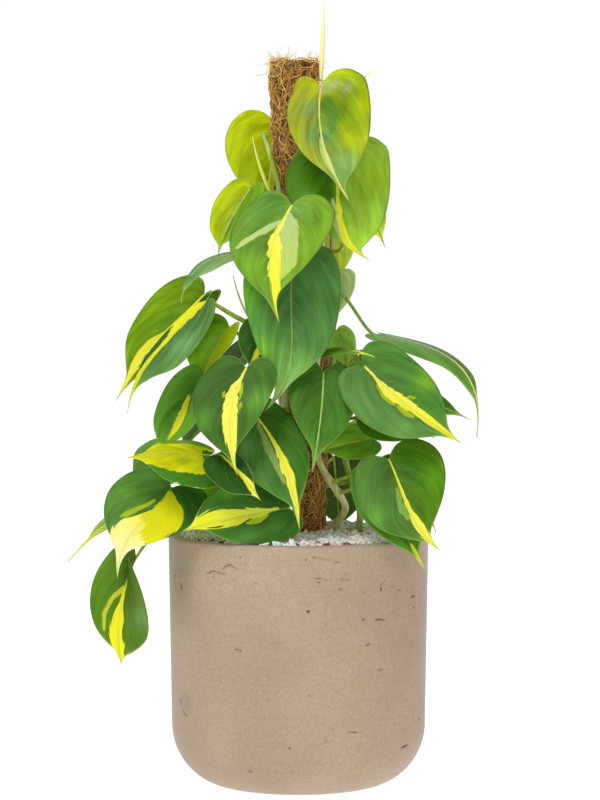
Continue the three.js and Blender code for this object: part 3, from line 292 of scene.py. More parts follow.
# Variegation. ground: the green of the left half, the right half and the tip. wash: soft patches of
# another green, as (u, v, radius mm, colour). lime and yellow: sharp streaks, as (colour at the
# start, colour at the end, points), where a point is (u, v, half width mm). u runs from -1 at the
# left margin over the midrib to 1 at the right margin, v from the base to the tip. A row leaves out
# what the leaf hasn't got. The grounds and washes also hold painted light and painted shade beside
# the leaves' own greens: a ground is lighter where a leaf is lit and darker where it lies in shade,
# and some washes are painted highlights of the soft sheen.
MARKS = {
    # leaf_01: the grey-green washes on the inner left half are a painted highlight of its sheen.
    "leaf_01": dict(ground=("#8A9626", "#7E9A14", "#74942C"),
        wash=((-0.95, 0.1, 14, "#A4A81C"), (-0.95, 0.4, 12, "#9CA41C"), (-0.9, 0.7, 9, "#A4AE2C"),
            (-0.25, 0.2, 7, "#75925A"), (-0.2, 0.42, 9, "#668C48"), (-0.5, 0.12, 6, "#92903C"),
            (0.5, -0.04, 12, "#A6B400"), (0.9, 0.04, 16, "#AEBE00"), (1.0, 0.25, 12, "#B0C000"),
            (0.98, 0.45, 10, "#AABA1C"), (0.2, 0.05, 4.5, "#8FA568"), (0.42, 0.08, 4.5, "#93A866"),
            (0.62, 0.14, 4, "#A2B070"), (0.14, 0.17, 7, "#467008"), (0.3, 0.28, 8, "#4E7C08"),
            (0.5, 0.36, 5, "#8CA008"), (0.58, 0.44, 7, "#A4B008"), (0.1, 0.44, 8, "#58843A"),
            (0.6, 0.64, 10, "#7CA058"), (0.25, 0.75, 9, "#6E9848")),
        lime=(("#4A7610", "#5A8A2C", ((0.1, 0.12, 1), (0.2, 0.2, 2.6), (0.26, 0.28, 3.4),
            (0.24, 0.36, 2.4), (0.2, 0.42, 1))),
            ("#A9BE62", "#B6C668", ((-0.06, 0.44, 0.8), (-0.1, 0.54, 2.4), (-0.12, 0.66, 2.6),
            (-0.12, 0.76, 1.2)))),
        yellow=(("#D2A084", "#D6BE84", ((0, -0.02, 1.1), (0, 0.04, 0.9), (0, 0.1, 0.5))),
            ("#DCD884", "#E6E08C", ((0, 0.08, 0.6), (0, 0.3, 0.5), (-0.02, 0.5, 0.8), (-0.03, 0.6, 1.1),
            (0, 0.8, 0.9), (0, 1, 0.6))))),
    # leaf_02: the dark left half and its darkest wash are painted shade under leaf_01.
    "leaf_02": dict(ground=("#42720E", "#92BE38", "#92B850"),
        wash=((-0.5, 0.12, 12, "#2A5400"), (-0.75, 0.45, 10, "#64A02C"), (0.7, 0.25, 16, "#9AC22C"),
            (0.5, 0.7, 14, "#94BE30")),
        lime=((SAGE, SAGE, ((-0.12, 0.45, 1.2), (-0.15, 0.6, 2.6), (-0.2, 0.75, 3.2),
            (-0.15, 0.92, 3))),),
        yellow=((YELLOW, YELLOW, ((0.03, 0.2, 0.6), (0, 0.3, 0.9), (0, 0.45, 1.3), (0.03, 0.55, 1.9),
            (0, 0.65, 2.4), (0, 0.8, 2.9), (0, 0.9, 2.8), (0, 1, 1.2))),)),
    "leaf_03": dict(ground=("#5E8828", "#709826", "#82A236"),
        wash=((-0.7, 0.12, 12, "#5C9038"), (0.2, 0.08, 8, "#6C9C48"), (-0.6, 0.55, 12, "#74A62C")),
        lime=((SAGE, "#B4C95A", ((0.08, 0.1, 2), (0.16, 0.2, 5.4), (0.25, 0.3, 7.4), (0.36, 0.4, 6.6),
            (0.5, 0.5, 5.2), (0.52, 0.62, 1.8))),
            (SAGE, "#B9CC74", ((-0.02, 0.15, 1.6), (-0.21, 0.225, 2.6), (-0.4, 0.29, 2.4),
            (-0.62, 0.35, 2.1), (-0.85, 0.395, 1.1)))),
        yellow=((PALE, YELLOW, ((0, 0, 0.8), (0.02, 0.1, 1.2), (0.02, 0.2, 1.6), (-0.03, 0.3, 3.6),
            (0.055, 0.4, 4.8), (0.12, 0.5, 4.8), (0.2, 0.6, 4.6), (0.4, 0.7, 3.3), (0.6, 0.8, 2.4),
            (0.7, 0.9, 1.2), (0, 1, 0.5))),)),
    # leaf_04: the lighter washes on the right half and towards the tip are painted highlights.
    "leaf_04": dict(ground=("#50863A", "#4A7A38", "#82B45C"),
        wash=((-0.9, 0.3, 10, "#66A026"), (-0.9, 0.55, 10, "#6AA62E"), (0.05, 0.3, 18, "#3C6830"),
            (0.6, 0.7, 14, "#76AA54"), (0.2, 0.85, 12, "#8EBA60"), (0.9, 0.3, 8, "#3E6E2E"))),
    # leaf_05 and leaf_06 are lit from behind: their light lime is their own yellow-green, made lighter with
    # painted light that shines through the blade.
    "leaf_05": dict(ground=("#B4C606", "#B8CA06", "#A8BE10"), wash=((-0.3, 0.5, 12, "#9CB40A"),),
        yellow=(("#C6CC4A", "#C6CC4A", ((0, 0, 0.6), (0, 1, 0.4))),)),
    "leaf_06": dict(ground=("#A4BA02", "#70A010", "#9CB60C"), wash=((-0.6, 0.3, 9, "#B0BF10"),),
        yellow=((SAGE, SAGE, ((0, 0, 0.9), (0, 0.6, 0.9), (0, 1, 0.4))),)),
    "leaf_07": dict(ground=("#7AA266", "#84AA66", "#76A258"), wash=((0.2, 0.6, 9, "#4F8244"),),
        lime=((SAGE, SAGE, ((0.1, 0.3, 1), (0.3, 0.6, 1))),),
        yellow=((YELLOW, YELLOW, ((-0.85, 0.4, 1), (-0.8, 0.6, 1.1), (-0.7, 0.8, 0.8))),)),
    "leaf_08": dict(ground=("#68900A", "#5A8606", "#8FA81C"),
        wash=((-0.7, 0.3, 14, "#7AA410"), (-0.2, 0.3, 9, "#558C08")),
        yellow=((YELLOW, PALE, ((-0.1, 0.38, 1), (-0.2, 0.5, 4), (-0.3, 0.6, 4.2), (-0.38, 0.7, 3.6),
            (-0.45, 0.8, 2.2), (-0.3, 0.9, 1.2), (0, 1, 0.8))),)),
    "leaf_09": dict(ground=("#2C5A1A", "#56823E", "#729A38"), wash=((0.6, 0.3, 12, "#6A9C5E"),),
        yellow=((YELLOW, YELLOW, ((0, 0.02, 0.8), (-0.3, 0.1, 2.8), (-0.4, 0.18, 3.6),
            (-0.4, 0.26, 3.6), (-0.3, 0.32, 2.7), (-0.1, 0.38, 1.9), (0, 0.5, 1.6), (0, 0.66, 1.8),
            (0, 0.76, 2.3), (0, 0.88, 1.6), (0, 1, 0.6))),
            (YELLOW, YELLOW, ((-0.96, 0.08, 0.8), (-0.96, 0.3, 0.8), (-0.96, 0.5, 0.8))))),
    "leaf_10": dict(ground=("#6A9E0C", "#AEC410", "#8CAE20"), wash=((-0.4, 0.3, 9, "#5A8E04"),),
        lime=((OLIVE, OLIVE, ((0.4, 0.3, 2), (0.5, 0.6, 2.2), (0.5, 0.85, 1))),)),
    "leaf_11": dict(ground=("#548A24", "#649C2A", "#80BC34"), wash=((0.5, 0.1, 8, "#5E8A20"),),
        lime=((LIME, LIME, ((0.15, 0.05, 3), (0.3, 0.15, 4.4), (0.35, 0.28, 4))),),
        yellow=((YELLOW, YELLOW, ((-0.1, 0.22, 1), (-0.02, 0.3, 2.2), (0.12, 0.4, 4.2), (0.2, 0.5, 4),
            (0.25, 0.6, 2.6), (0.2, 0.7, 1))),)),
    "leaf_12": dict(ground=("#386020", "#406A22", "#568A32"),
        wash=((-0.85, 0.45, 9, "#548A2C"), (0.1, 0.18, 10, "#36602A"), (0.8, 0.35, 10, "#5C9236")),
        lime=((LIME, LIME, ((0.1, 0.16, 1), (0.13, 0.24, 1.5), (0.15, 0.32, 1.2))),
            (LIME, LIME, ((0.22, 0.36, 1.6), (0.27, 0.45, 1))),
            (LIME, LIME, ((-0.25, 0.29, 1.2), (-0.31, 0.24, 0.7)))),
        yellow=((PALE, PALE, ((0, 0, 0.8), (0, 0.1, 1.2), (-0.04, 0.2, 3.4), (-0.07, 0.3, 5),
            (-0.03, 0.4, 6), (0, 0.5, 5.6), (0, 0.6, 5.5), (0.05, 0.7, 4.3), (0.3, 0.8, 2.7),
            (0.3, 0.9, 1.5), (0, 1, 0.5))),)),
    # leaf_13: its yellow ground is its own colour, made lighter still with painted light where the blade
    # faces up into the light.
    "leaf_13": dict(ground=("#D6D810", "#DCDE0C", "#DCD82C"),
        wash=((-0.9, 0.2, 9, "#A0B81C"), (-0.9, 0.5, 8, "#A8C018"), (0.3, 0.3, 9, "#BAC804")),
        lime=(("#3E7A20", "#4A8426", ((0.9, -0.02, 5), (0.86, 0.15, 6), (0.84, 0.35, 6.4),
            (0.86, 0.5, 5), (0.95, 0.66, 2))),
            ("#6E9A1C", "#7CA41C", ((-0.9, 0.1, 2.4), (-0.86, 0.3, 2.6), (-0.9, 0.5, 1.6)))),
        yellow=(("#D2CF24", "#D2CF24", ((0, 0, 0.5), (0, 0.5, 0.6), (0, 1, 0.5))),)),
    "leaf_14": dict(ground=("#48782A", "#366A20", "#4A8A24"),
        wash=((-0.7, 0.3, 12, "#5C9036"), (0.5, 0.1, 9, DARK)),
        lime=((LIME, LIME, ((-0.1, 0.2, 1.5), (-0.2, 0.33, 2.2), (-0.4, 0.45, 2.2),
            (-0.5, 0.5, 1.2))),),
        yellow=(("#D4D206", "#D8D60C", ((0.1, 0.07, 2.5), (0.15, 0.12, 4.2), (0.2, 0.2, 7.4),
            (0.3, 0.3, 12), (0.36, 0.38, 14), (0.3, 0.47, 15), (0.2, 0.53, 13))),
            (PALE, CREAM, ((0.15, 0.5, 13), (0, 0.6, 15), (0, 0.75, 14), (0, 1, 8))))),
    "leaf_15": dict(ground=(DARK, DEEP, GREEN), wash=((-0.8, 0.4, 8, GREEN), (0.8, 0.4, 8, "#4A8030")),
        lime=((LIME, LIME, ((0.12, 0.22, 1.5), (0.25, 0.3, 2.5), (0.28, 0.4, 1.5))),
            (LIME, LIME, ((-0.3, 0.55, 3), (-0.5, 0.7, 3.6), (-0.6, 0.85, 2)))),
        yellow=(("#C2CC40", YELLOW, ((-0.04, 0.1, 1.2), (0, 0.2, 1.9), (0, 0.3, 3.7), (0, 0.4, 4.8),
            (0.03, 0.5, 5.9), (0, 0.6, 6), (-0.25, 0.7, 6), (-0.35, 0.8, 5.3), (-0.4, 0.9, 3.3),
            (0, 1, 1))),)),
    "leaf_16": dict(ground=("#2A5518", "#24501A", DARK),
        yellow=((YELLOW, PALE, ((0, 0, 0.8), (0, 0.3, 1.2), (0.05, 0.55, 2), (0.1, 0.7, 3.2),
            (0.1, 0.85, 3.4), (0, 1, 1.5))),)),
    "leaf_17": dict(ground=("#44762E", "#356818", "#4C8028"),
        wash=((-0.6, 0.3, 12, "#588A3C"), (0.7, 0.25, 9, "#42781C")),
        lime=(("#7E9E50", "#86A458", ((-0.03, 0.05, 1), (-0.12, 0.15, 1.8), (-0.16, 0.3, 2.6),
            (-0.2, 0.45, 2.8), (-0.25, 0.58, 2), (-0.2, 0.66, 1))),),
        yellow=((YELLOW, PALE, ((0, 0, 0.5), (0, 0.2, 1), (0, 0.3, 1.5), (0, 0.4, 2.5), (0, 0.5, 3.6),
            (0, 0.6, 3.8), (0, 0.7, 2.9), (0, 0.8, 2), (0, 0.9, 1.3), (0, 1, 0.5))),)),
    "leaf_18": dict(ground=("#447222", "#407020", "#76AE46"),
        wash=((-0.5, 0.2, 12, "#36621C"), (0.7, 0.5, 10, "#467C26")),
        yellow=(("#8FBF6A", "#8FBF6A", ((0, 0, 0.6), (0, 1, 0.4))),)),
    # leaf_19: the grey-green wash on the left half is a painted highlight.
    "leaf_19": dict(ground=("#527E3A", "#4A802E", "#6CA044"),
        wash=((0.85, 0.4, 8, "#74A826"), (-0.8, 0.5, 10, "#66964A")),
        lime=((LIME, LIME, ((-0.12, 0.2, 1.5), (-0.2, 0.3, 2.2), (-0.22, 0.36, 1.5))),
            (LIME, LIME, ((-0.2, 0.42, 2), (-0.26, 0.5, 2.2), (-0.22, 0.56, 1.2))),
            (LIME, LIME, ((0.1, 0.42, 1.5), (0.22, 0.44, 1.8), (0.3, 0.46, 0.8)))),
        yellow=((PALE, YELLOW, ((0, 0, 0.8), (0, 0.1, 1), (-0.04, 0.2, 1.9), (-0.06, 0.3, 4),
            (-0.02, 0.4, 4.6), (0, 0.5, 3.6), (0, 0.6, 3.4), (0, 0.7, 3.2), (0, 0.8, 2.4),
            (0, 0.9, 1.6), (0, 1, 0.7))),)),
    "leaf_20": dict(ground=("#5E9038", "#548634", "#74B046"),
        yellow=(("#C9D28A", "#E8E080", ((0, 0, 0.6), (0, 0.4, 0.8), (0.05, 0.6, 1.2), (0, 1, 0.5))),)),
    "leaf_21": dict(ground=("#5A8F2A", DEEP, GREEN),
        yellow=((LIME, LIME, ((0, 0, 0.5), (0, 1, 0.5))),)),
    "leaf_22": dict(ground=("#42780C", "#3C7008", "#508A10")),
    "leaf_23": dict(ground=("#4E7630", "#4C7A14", "#5C9226"),
        wash=((-0.85, 0.4, 8, "#5E9638"), (0.3, 0.2, 12, "#3A6C14"), (0.9, 0.35, 10, "#5C9218")),
        lime=(("#7AA040", "#84A848", ((-0.08, 0.28, 1.2), (-0.15, 0.4, 2.4), (-0.2, 0.5, 3),
            (-0.2, 0.58, 2))),),
        yellow=((YELLOW, PALE, ((0, 0, 0.5), (0, 0.15, 0.7), (0, 0.3, 1), (0, 0.42, 1.3), (0, 0.52, 2),
            (0, 0.62, 2.9), (0, 0.72, 3.8), (0, 0.82, 3.6), (0, 0.92, 2), (0, 1, 0.6))),)),
    "leaf_24": dict(ground=("#4A8A20", "#4A8A20", "#5C9630"),
        yellow=((YELLOW, PALE, ((0.1, 0.75, 1), (0.1, 0.82, 1.6), (0, 0.9, 1.3), (0, 1, 0.5))),)),
    "leaf_25": dict(ground=("#548018", "#4E701C", "#648E28"), wash=((0.8, 0.4, 8, "#628548"),),
        lime=(("#B5BE30", "#B5BE30", ((-0.02, 0.28, 1.8), (-0.3, 0.36, 2.2), (-0.55, 0.47, 2),
            (-0.75, 0.58, 1.3))),),
        yellow=((YELLOW, YELLOW, ((0.1, 0.25, 3), (0.05, 0.4, 2.4), (0.03, 0.5, 3.8), (0, 0.6, 4.7),
            (-0.15, 0.7, 5), (-0.3, 0.8, 5.4), (-0.3, 0.9, 4.2), (0, 1, 1.5))),)),
    "leaf_26": dict(ground=("#98C05C", "#AECC5C", "#F0E87A"), wash=((0, 0.9, 14, "#BCC860"),),
        lime=((SAGE, SAGE, ((0.2, 0.2, 1), (0.3, 0.6, 1.2))),),
        yellow=((YELLOW, YELLOW, ((0, 0.5, 0.8), (0, 0.8, 2), (0, 1, 1.5))),)),
    "leaf_27": dict(ground=("#5A9030", GREEN, FRESH)),
    "leaf_28": dict(ground=("#2A5A18", DARK, DEEP),
        yellow=((YELLOW, YELLOW, ((0.1, 0.3, 1.2), (0.1, 0.6, 2.4), (0, 0.9, 1.2))),)),
    # leaf_29, leaf_31, leaf_33, leaf_34 and leaf_37 lie among other leaves; their grounds are made lighter
    # with painted light, so that they look as lit as the front leaves.
    "leaf_29": dict(ground=("#88B83C", "#88B83C", "#A0D440")),
    "leaf_30": dict(ground=("#548210", "#548210", LIME),
        yellow=((YELLOW, YELLOW, ((0, 0.6, 0.6), (0, 0.85, 1.4), (0, 1, 0.8))),)),
    "leaf_31": dict(ground=("#C8E498", "#BEDE90", "#C8E48C")),
    "leaf_32": dict(ground=("#E0F444", "#C4E438", "#E0F444")),
    "leaf_33": dict(ground=("#A8F028", "#A8F028", "#B8F838")),
    "leaf_34": dict(ground=("#86BC2C", "#70A826", "#86BC2C"),
        yellow=((LIME, LIME, ((0, 0.2, 0.8), (0, 0.7, 1.4), (0, 1, 0.6))),)),
    "leaf_37": dict(ground=("#C4D83C", "#C8DC40", "#C4D83C")),
    "leaf_38": dict(ground=("#28580A", "#28580A", "#38720C")),
    "leaf_39": dict(ground=("#64B01C", "#64B01C", "#78C824")),
    "leaf_40": dict(ground=("#2C600C", "#2C600C", "#3C7C10")),
    # leaf_44: its very dark ground is painted shade, for the shaded inside of the plant behind the stems.
    "leaf_44": dict(ground=("#1F420C", "#1F420C", "#2A5212")),
}

# Fibre-clay pot: sizes, and the wear that its front shows
POT_HEIGHT = 194
POT_RIM_RADIUS = 100
POT_LOWER_RADIUS = 97.6
POT_BASE_RADIUS = 52
POT_CORNER_HEIGHT = 48
POT_WALL = 8
POT_FLOOR = 11
RIM_ROUNDING = 2.2
SOIL_LEVEL = 190.6
POT_CORNER_STEPS = 22
POT_WALL_ROWS = 62
POT_COLUMNS = 216

# Inside of the pot, as (height, thickness of the wall)
POT_INSIDE = ((POT_CORNER_HEIGHT, POT_WALL), (17, 9.5), (POT_FLOOR, 9.6))

# Cracks and pits on the front, as points (x, z, half width) in mm on the wall
POT_MARKS = (
    ((-69, 171, 0.5), (-66.5, 172, 0.9), (-65, 173.4, 0.8), (-62, 172.7, 0.6), (-59, 172.3, 0.7),
        (-54.5, 171.6, 0.4)),
    ((-56.5, 175.7, 0.6), (-53.5, 178.2, 0.9), (-51, 178.8, 0.8), (-48, 177, 0.6), (-45, 176, 0.4)),
    ((-43.6, 185, 0.5), (-43, 185, 0.5)),
    ((5.6, 184.2, 0.8), (6.4, 184.2, 0.7)),
    ((10.5, 186.2, 0.5), (16, 185.2, 0.35), (25, 183.5, 0.3)),
    ((27, 182, 0.6), (30.5, 182, 0.6)),
    ((34.5, 173.2, 0.5), (37.5, 172.6, 0.4)),
    ((12, 169.8, 0.5), (16, 170.2, 0.5), (21.5, 168.8, 0.3)),
    ((31.5, 168.6, 0.5), (34, 168.9, 0.4), (37.5, 168.3, 0.3)),
    ((-33, 166.4, 0.6), (-31, 166, 0.6)),
    ((15, 167, 0.4), (16, 167, 0.4)),
    ((30.5, 161.6, 0.5), (34, 162.2, 0.4)),
    ((65.5, 165.6, 0.5), (63.5, 164.8, 0.6), (62.3, 162, 0.6), (62, 159, 1.0)),
    ((70.2, 161, 0.6), (70.8, 161, 0.6)),
    ((75.2, 157.8, 0.7), (77, 158.2, 0.7)),
    ((86, 150.6, 1.2), (88, 151, 1.1)),
    ((87.2, 142, 0.6), (88, 142.6, 0.5)),
    ((49, 157.6, 0.6), (50, 158, 0.6)),
    ((7, 145.3, 1.2), (8, 145.3, 1.2)),
    ((20, 147, 0.5), (20.6, 147, 0.5)),
    ((21, 135.4, 0.5), (21, 134.6, 0.5)),
    ((48, 137.8, 0.8), (49.4, 137.6, 0.7)),
    ((57.5, 136, 0.5), (60, 136.9, 1.0), (62.5, 136.6, 0.9), (65, 135.4, 0.4)),
    ((75, 138, 0.5), (75.6, 138.2, 0.5)),
    ((51, 118.2, 0.6), (53.4, 118.8, 0.6)),
    ((-47.5, 115, 0.7), (-45.5, 115.1, 1.0), (-43, 114.5, 0.6)),
    ((-19, 120.8, 0.35), (-14, 122, 0.3)),
    ((60.5, 98.4, 0.7), (62, 98.8, 0.7), (64, 98.2, 0.4)),
    ((7, 83, 0.4), (9.2, 81.6, 0.4)),
    ((25, 56.5, 0.5), (26, 56.5, 0.5)),
    ((37, 53.4, 0.4), (40, 53.2, 0.6), (44, 52.6, 0.4)),
    ((20.6, 47.5, 0.8), (21.4, 47.5, 0.7)),
    ((-7, 42.3, 0.9), (-6.2, 42.3, 0.8)),
    ((78, 36.3, 0.9), (80.5, 36.9, 1.3), (83, 37.4, 0.9)),
    ((-37.2, 22.8, 0.8), (-35.4, 22.9, 0.7)),
    ((-90, 160.4, 0.7), (-89, 158, 1.0), (-88.3, 156, 0.6)),
    ((-94.2, 165.2, 0.6), (-93.6, 165, 0.6)),
    ((-90, 70.4, 0.9), (-89.4, 67, 0.6)),
    ((-88.6, 64, 0.6), (-87.4, 61.8, 0.7)),
    ((-86.6, 60.4, 0.8), (-84.4, 59.6, 0.5)),
    ((-64.6, 169.3, 0.5), (-63.6, 169, 0.6)),
    ((91.4, 55.6, 1.0), (93, 53.8, 0.8)),
    ((67.6, 182, 0.5), (68.6, 182, 0.4)),
)

# Cracks and pits: how far from its first point a mark is looked for, how deep it is sunk, the width
# round it that is cut finer, the value of the wall where it is unhurt, the height above which the
# wall has marks, how thick its outer skin is, and the number of marks on the back
MARK_REACH = 12
MARK_SINK = 0.55
MARK_FINE = -2.6
UNHURT = -6.0
MARK_LEVEL = 8
OUTER_SKIN = 1.0
BACK_MARKS = 120

# Grey smudge on the front, in metres
SMUDGE = (-0.086, -0.048, 0.069)

# Mineral granules of the substrate: share of the bed, longest half axis in mm, roughness and colours
GRANULES = {
    "quartz": (0.3, (2.7, 3.8), 0.5, ("#FFFFFF", "#DCEEF8", "#FFFFFF")),
    "feldspar": (0.54, (2.6, 3.7), 0.8, ("#FFFAF6", "#F8D4C0", "#FFFAF4")),
    "porphyry": (0.16, (2.2, 3.2), 0.8, ("#A07470", "#4A2C2E", "#B89890")),
}

# Stones: number of shapes, the height at which the holes for the pole and the stems are taken, their
# clearances, the six-sided grid and its shake, and how a stone sinks, rises and tilts
STONE_SHAPES = 9
HOLE_LEVEL = 190
POLE_CLEARANCE = 10.6
STEM_CLEARANCE = 4.2
WALL_CLEARANCE = 2.2
ROW_SHARE = 0.866
GRID_SHAKE = 0.34
STONE_SINK = 0.8
STONE_RISE = 3.6
STONE_TILT = 0.5

# How lit a vertex in the middle of a stone's face, of its edge and at its corner is painted: painted shade
# darkens the corners, where the joints between the stones lie in shadow
LIT_SHARE = (1.0, 0.3, 0.0)

# Wisps: the height of the pole's end, the number round its edge and in the tuft on its left, points
# of a wisp and of one turn of a loop, and their radius as a share of a fibre's
WISP_LEVEL = 555
RIM_WISPS = 150
TUFT_WISPS = 60
WISP_STEPS = 9
LOOP_STEPS = 14
WISP_SHARE = 0.75

# Long loose fibres at the top of the pole: start, direction, length in mm
TOP_WISPS = (
    ((-19, -8, 553), (-0.6, -0.3, 0.8), 18),
    ((-20, -6, 551), (-0.9, -0.3, 0.3), 12),
    ((-21, -5, 549), (-0.35, -0.2, -0.5), 16),
    ((-21, -8, 545), (-0.3, -0.3, -0.9), 15),
    ((-19, -3, 555), (-1.0, 0.0, 0.5), 12),
    ((-15, -10, 556), (-0.3, -0.2, 0.9), 15),
    ((-12, -12, 557), (0.9, -0.2, 0.6), 18),
    ((-8, -12, 557), (0.8, -0.1, 0.7), 14),
    ((6, -10, 556), (0.6, -0.4, -0.5), 16),
)

# Fibres that are curled to a loop: centre, radius in mm and number of turns
TOP_LOOPS = (
    ((-18.5, -21.5, 548.5), 5.6, 1.5),
    ((-20, -19, 553), 4.2, 0.8),
)

# Colours of the fibre clay and of the coir
CLAY = "#B4A088"
CLAY_SHADE = "#A6927A"
CLAY_DARK = "#917A62"
COIR = "#F8BC5C"
COIR_DARK = "#AC7E2C"
COIR_SHADE = "#402408"
COIR_PALE = "#FFDC9C"


# Colour and node helpers

def linear(code):
    """Turns an sRGB hex colour into the linear values that Blender works in."""
    channels = [int(code[i:i + 2], 16) / 255 for i in (1, 3, 5)]
    return tuple(c / 12.92 if c <= 0.04045 else ((c + 0.055) / 1.055) ** 2.4 for c in channels) + (1.0,)


def add(tree, kind, inputs=None, **settings):
    """Adds a node with its settings, and sets or links its inputs."""
    node = tree.nodes.new(kind)
    for name, value in settings.items():
        setattr(node, name, value)
    for name, value in (inputs or {}).items():
        if isinstance(value, bpy.types.NodeSocket):
            tree.links.new(value, node.inputs[name])
        else:
            node.inputs[name].default_value = value
    return node


def new_material(name):
    """An empty node material with its output and its node tree."""
    material = bpy.data.materials.new(name)
    material.use_nodes = True
    tree = material.node_tree
    tree.nodes.clear()
    return material, tree, add(tree, "ShaderNodeOutputMaterial")


def lay_over(tree, colour, layers, ease="LINEAR"):
    """Lays colours over a ground: (value, low, high, most, colour), at its most where the value is high."""
    for value, low, high, most, tint in layers:
        share = add(tree, "ShaderNodeMapRange", {"Value": value, "From Min": low, "From Max": high,
            "To Max": most}, interpolation_type=ease)
        colour = add(tree, "ShaderNodeMix", {"Factor": share.outputs[0], "A": colour, "B": tint},
            data_type="RGBA").outputs["Result"]
    return colour


# Mesh helpers

def section(centre, ahead, side, radius, flat=1.0):
    """The place of a unit circle that stands square on a path."""
    side = (side - ahead * side.dot(ahead)).normalized()
    other = ahead.cross(side)
    turn = Matrix((side, other, ahead)).transposed().to_4x4()
    return Matrix.Translation(centre) @ turn @ Matrix.Diagonal((radius, radius * flat, radius, 1)), side


def sweep(bm, path, radii, sides, flat=1.0):
    """Extrudes a circle along a path into a closed bar, and returns its faces."""
    before = set(bm.faces)
    last = len(path) - 1
    ring = bmesh.ops.create_circle(bm, cap_ends=True, segments=sides, radius=1.0)["verts"]
    edges = list({edge for vert in ring for edge in vert.link_edges})
    ahead = (path[1] - path[0]).normalized()
    place, side = section(path[0], ahead, ahead.orthogonal(), radii[0], flat)
    bmesh.ops.transform(bm, matrix=place, verts=ring)
    for i in range(1, last + 1):
        ahead = (path[min(i + 1, last)] - path[i - 1]).normalized()
        following, side = section(path[i], ahead, side, radii[i], flat)
        made = bmesh.ops.extrude_edge_only(bm, edges=edges)["geom"]
        ring = [part for part in made if isinstance(part, bmesh.types.BMVert)]
        inside = set(ring)
        edges = [part for part in made if isinstance(part, bmesh.types.BMEdge)
            and part.verts[0] in inside and part.verts[1] in inside]
        bmesh.ops.transform(bm, matrix=following @ place.inverted(), verts=ring)
        place = following
    bmesh.ops.edgeloop_fill(bm, edges=edges)
    faces = [face for face in bm.faces if face not in before]
    bmesh.ops.recalc_face_normals(bm, faces=faces)
    return faces


def finish_piece(bm, name, materials, node=None):
    """Makes a mesh object in metres, smooth shaded, that rides on the plant and may stand for a node."""
    bmesh.ops.scale(bm, vec=(MM, MM, MM), verts=bm.verts)
    for face in bm.faces:
        face.smooth = True
    mesh = bpy.data.meshes.new(name)
    bm.to_mesh(mesh)
    bm.free()
    for material in materials:
        mesh.materials.append(material)
    piece = bpy.data.objects.new(name, mesh)
    bpy.context.scene.collection.objects.link(piece)
    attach(piece, "root")
    if node:
        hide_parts(node)
    return piece


def refinish(node, material):
    """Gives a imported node, whose shape stays, its own material."""
    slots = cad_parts[node].data.materials
    slots.clear()
    slots.append(material)


def turn_profile(bm, profile, steps, closed):
    """Turns a line of (radius, height) points round the vertical axis."""
    verts = [bm.verts.new((radius, 0, z)) for radius, z in profile]
    ends = verts[1:] + verts[:1] if closed else verts[1:]
    edges = [bm.edges.new(pair) for pair in zip(verts, ends)]
    bmesh.ops.spin(bm, geom=verts + edges, cent=(0, 0, 0), axis=(0, 0, 1), angle=2 * math.pi,
        steps=steps, use_merge=True)


def catmull(points, share):
    """Point of a Catmull-Rom curve through a list of points, at 0 to 1."""
    points = np.asarray(points, float)
    spans = len(points) - 1
    share = np.clip(np.asarray(share, float), 0, 1)
    span = np.minimum((share * spans).astype(int), spans - 1)
    t = (share * spans - span)[..., None]
    a, b, c, d = (points[np.clip(span + k, 0, spans)] for k in (-1, 0, 1, 2))
    return 0.5 * (2 * b + (c - a) * t + (2 * a - 5 * b + 4 * c - d) * t ** 2
        + (3 * b - a - 3 * c + d) * t ** 3)


def bezier(a, b, c, d, steps):
    """Points of a cubic Bezier curve."""
    shares = [i / steps for i in range(steps + 1)]
    return [a * (1 - t) ** 3 + b * 3 * t * (1 - t) ** 2 + c * 3 * t * t * (1 - t) + d * t ** 3
        for t in shares]


def square(vector, axis):
    """The part of a vector that stands square on an axis, at length one."""
    return (vector - axis * vector.dot(axis)).normalized()


# Pole and vines

def pole_centre(height):
    """The axis of the leaning pole at a height, in mm."""
    share = (height - POLE_FOOT[2]) / (POLE_HEAD[2] - POLE_FOOT[2])
    return Vector(POLE_FOOT).lerp(Vector(POLE_HEAD), share)


def sleeve_radius(height):
    """Radius of the even coir pole at a height, in mm."""
    return float(np.interp(height, *zip(*SLEEVE_SECTIONS)))


def vine_path(name, steps):
    """A vine's centre line, with the pole-side points turned into places just off the coir."""
    (foot, _), given = VINES[name]
    points = []
    for point in given:
        if len(point) == 3:
            points.append(point)
            continue
        angle, height = point
        centre = pole_centre(height)
        reach = sleeve_radius(height) + SLEEVE_LUMP + foot + VINE_CLEARANCE
        turn = math.radians(angle)
        points.append((centre.x + reach * math.sin(turn), centre.y - reach * math.cos(turn), centre.z))
    spans = len(points) - 1
    shares = [0] + [i / (steps * spans) for i in range(steps, steps * spans + 1)]
    return [Vector(point) for point in catmull(points, shares)]


def vine_at(name, height):
    """Place, direction and radius of a vine at a height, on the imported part's own coarse line."""
    foot, head = VINES[name][0]
    path = vine_path(name, PACKED_STEPS)
    last = len(path) - 1
    i = next(i for i in range(1, last + 1) if path[i].z >= height or i == last)
    share = min(1.0, (height - path[i - 1].z) / (path[i].z - path[i - 1].z))
    radius = foot + (head - foot) * (i - 1 + share) / last
    return path[i - 1].lerp(path[i], share), (path[i] - path[i - 1]).normalized(), radius


# Leaves

def face_vector(face):
    """The way that a blade's upper side faces."""
    azimuth, elevation = (math.radians(angle) for angle in face)
    level = math.cos(elevation)
    return Vector((level * math.sin(azimuth), -level * math.cos(azimuth), math.sin(elevation)))


def unit_rows(vectors):
    """Vectors brought to length one."""
    return vectors / np.maximum(np.linalg.norm(vectors, axis=-1, keepdims=True), 1e-9)


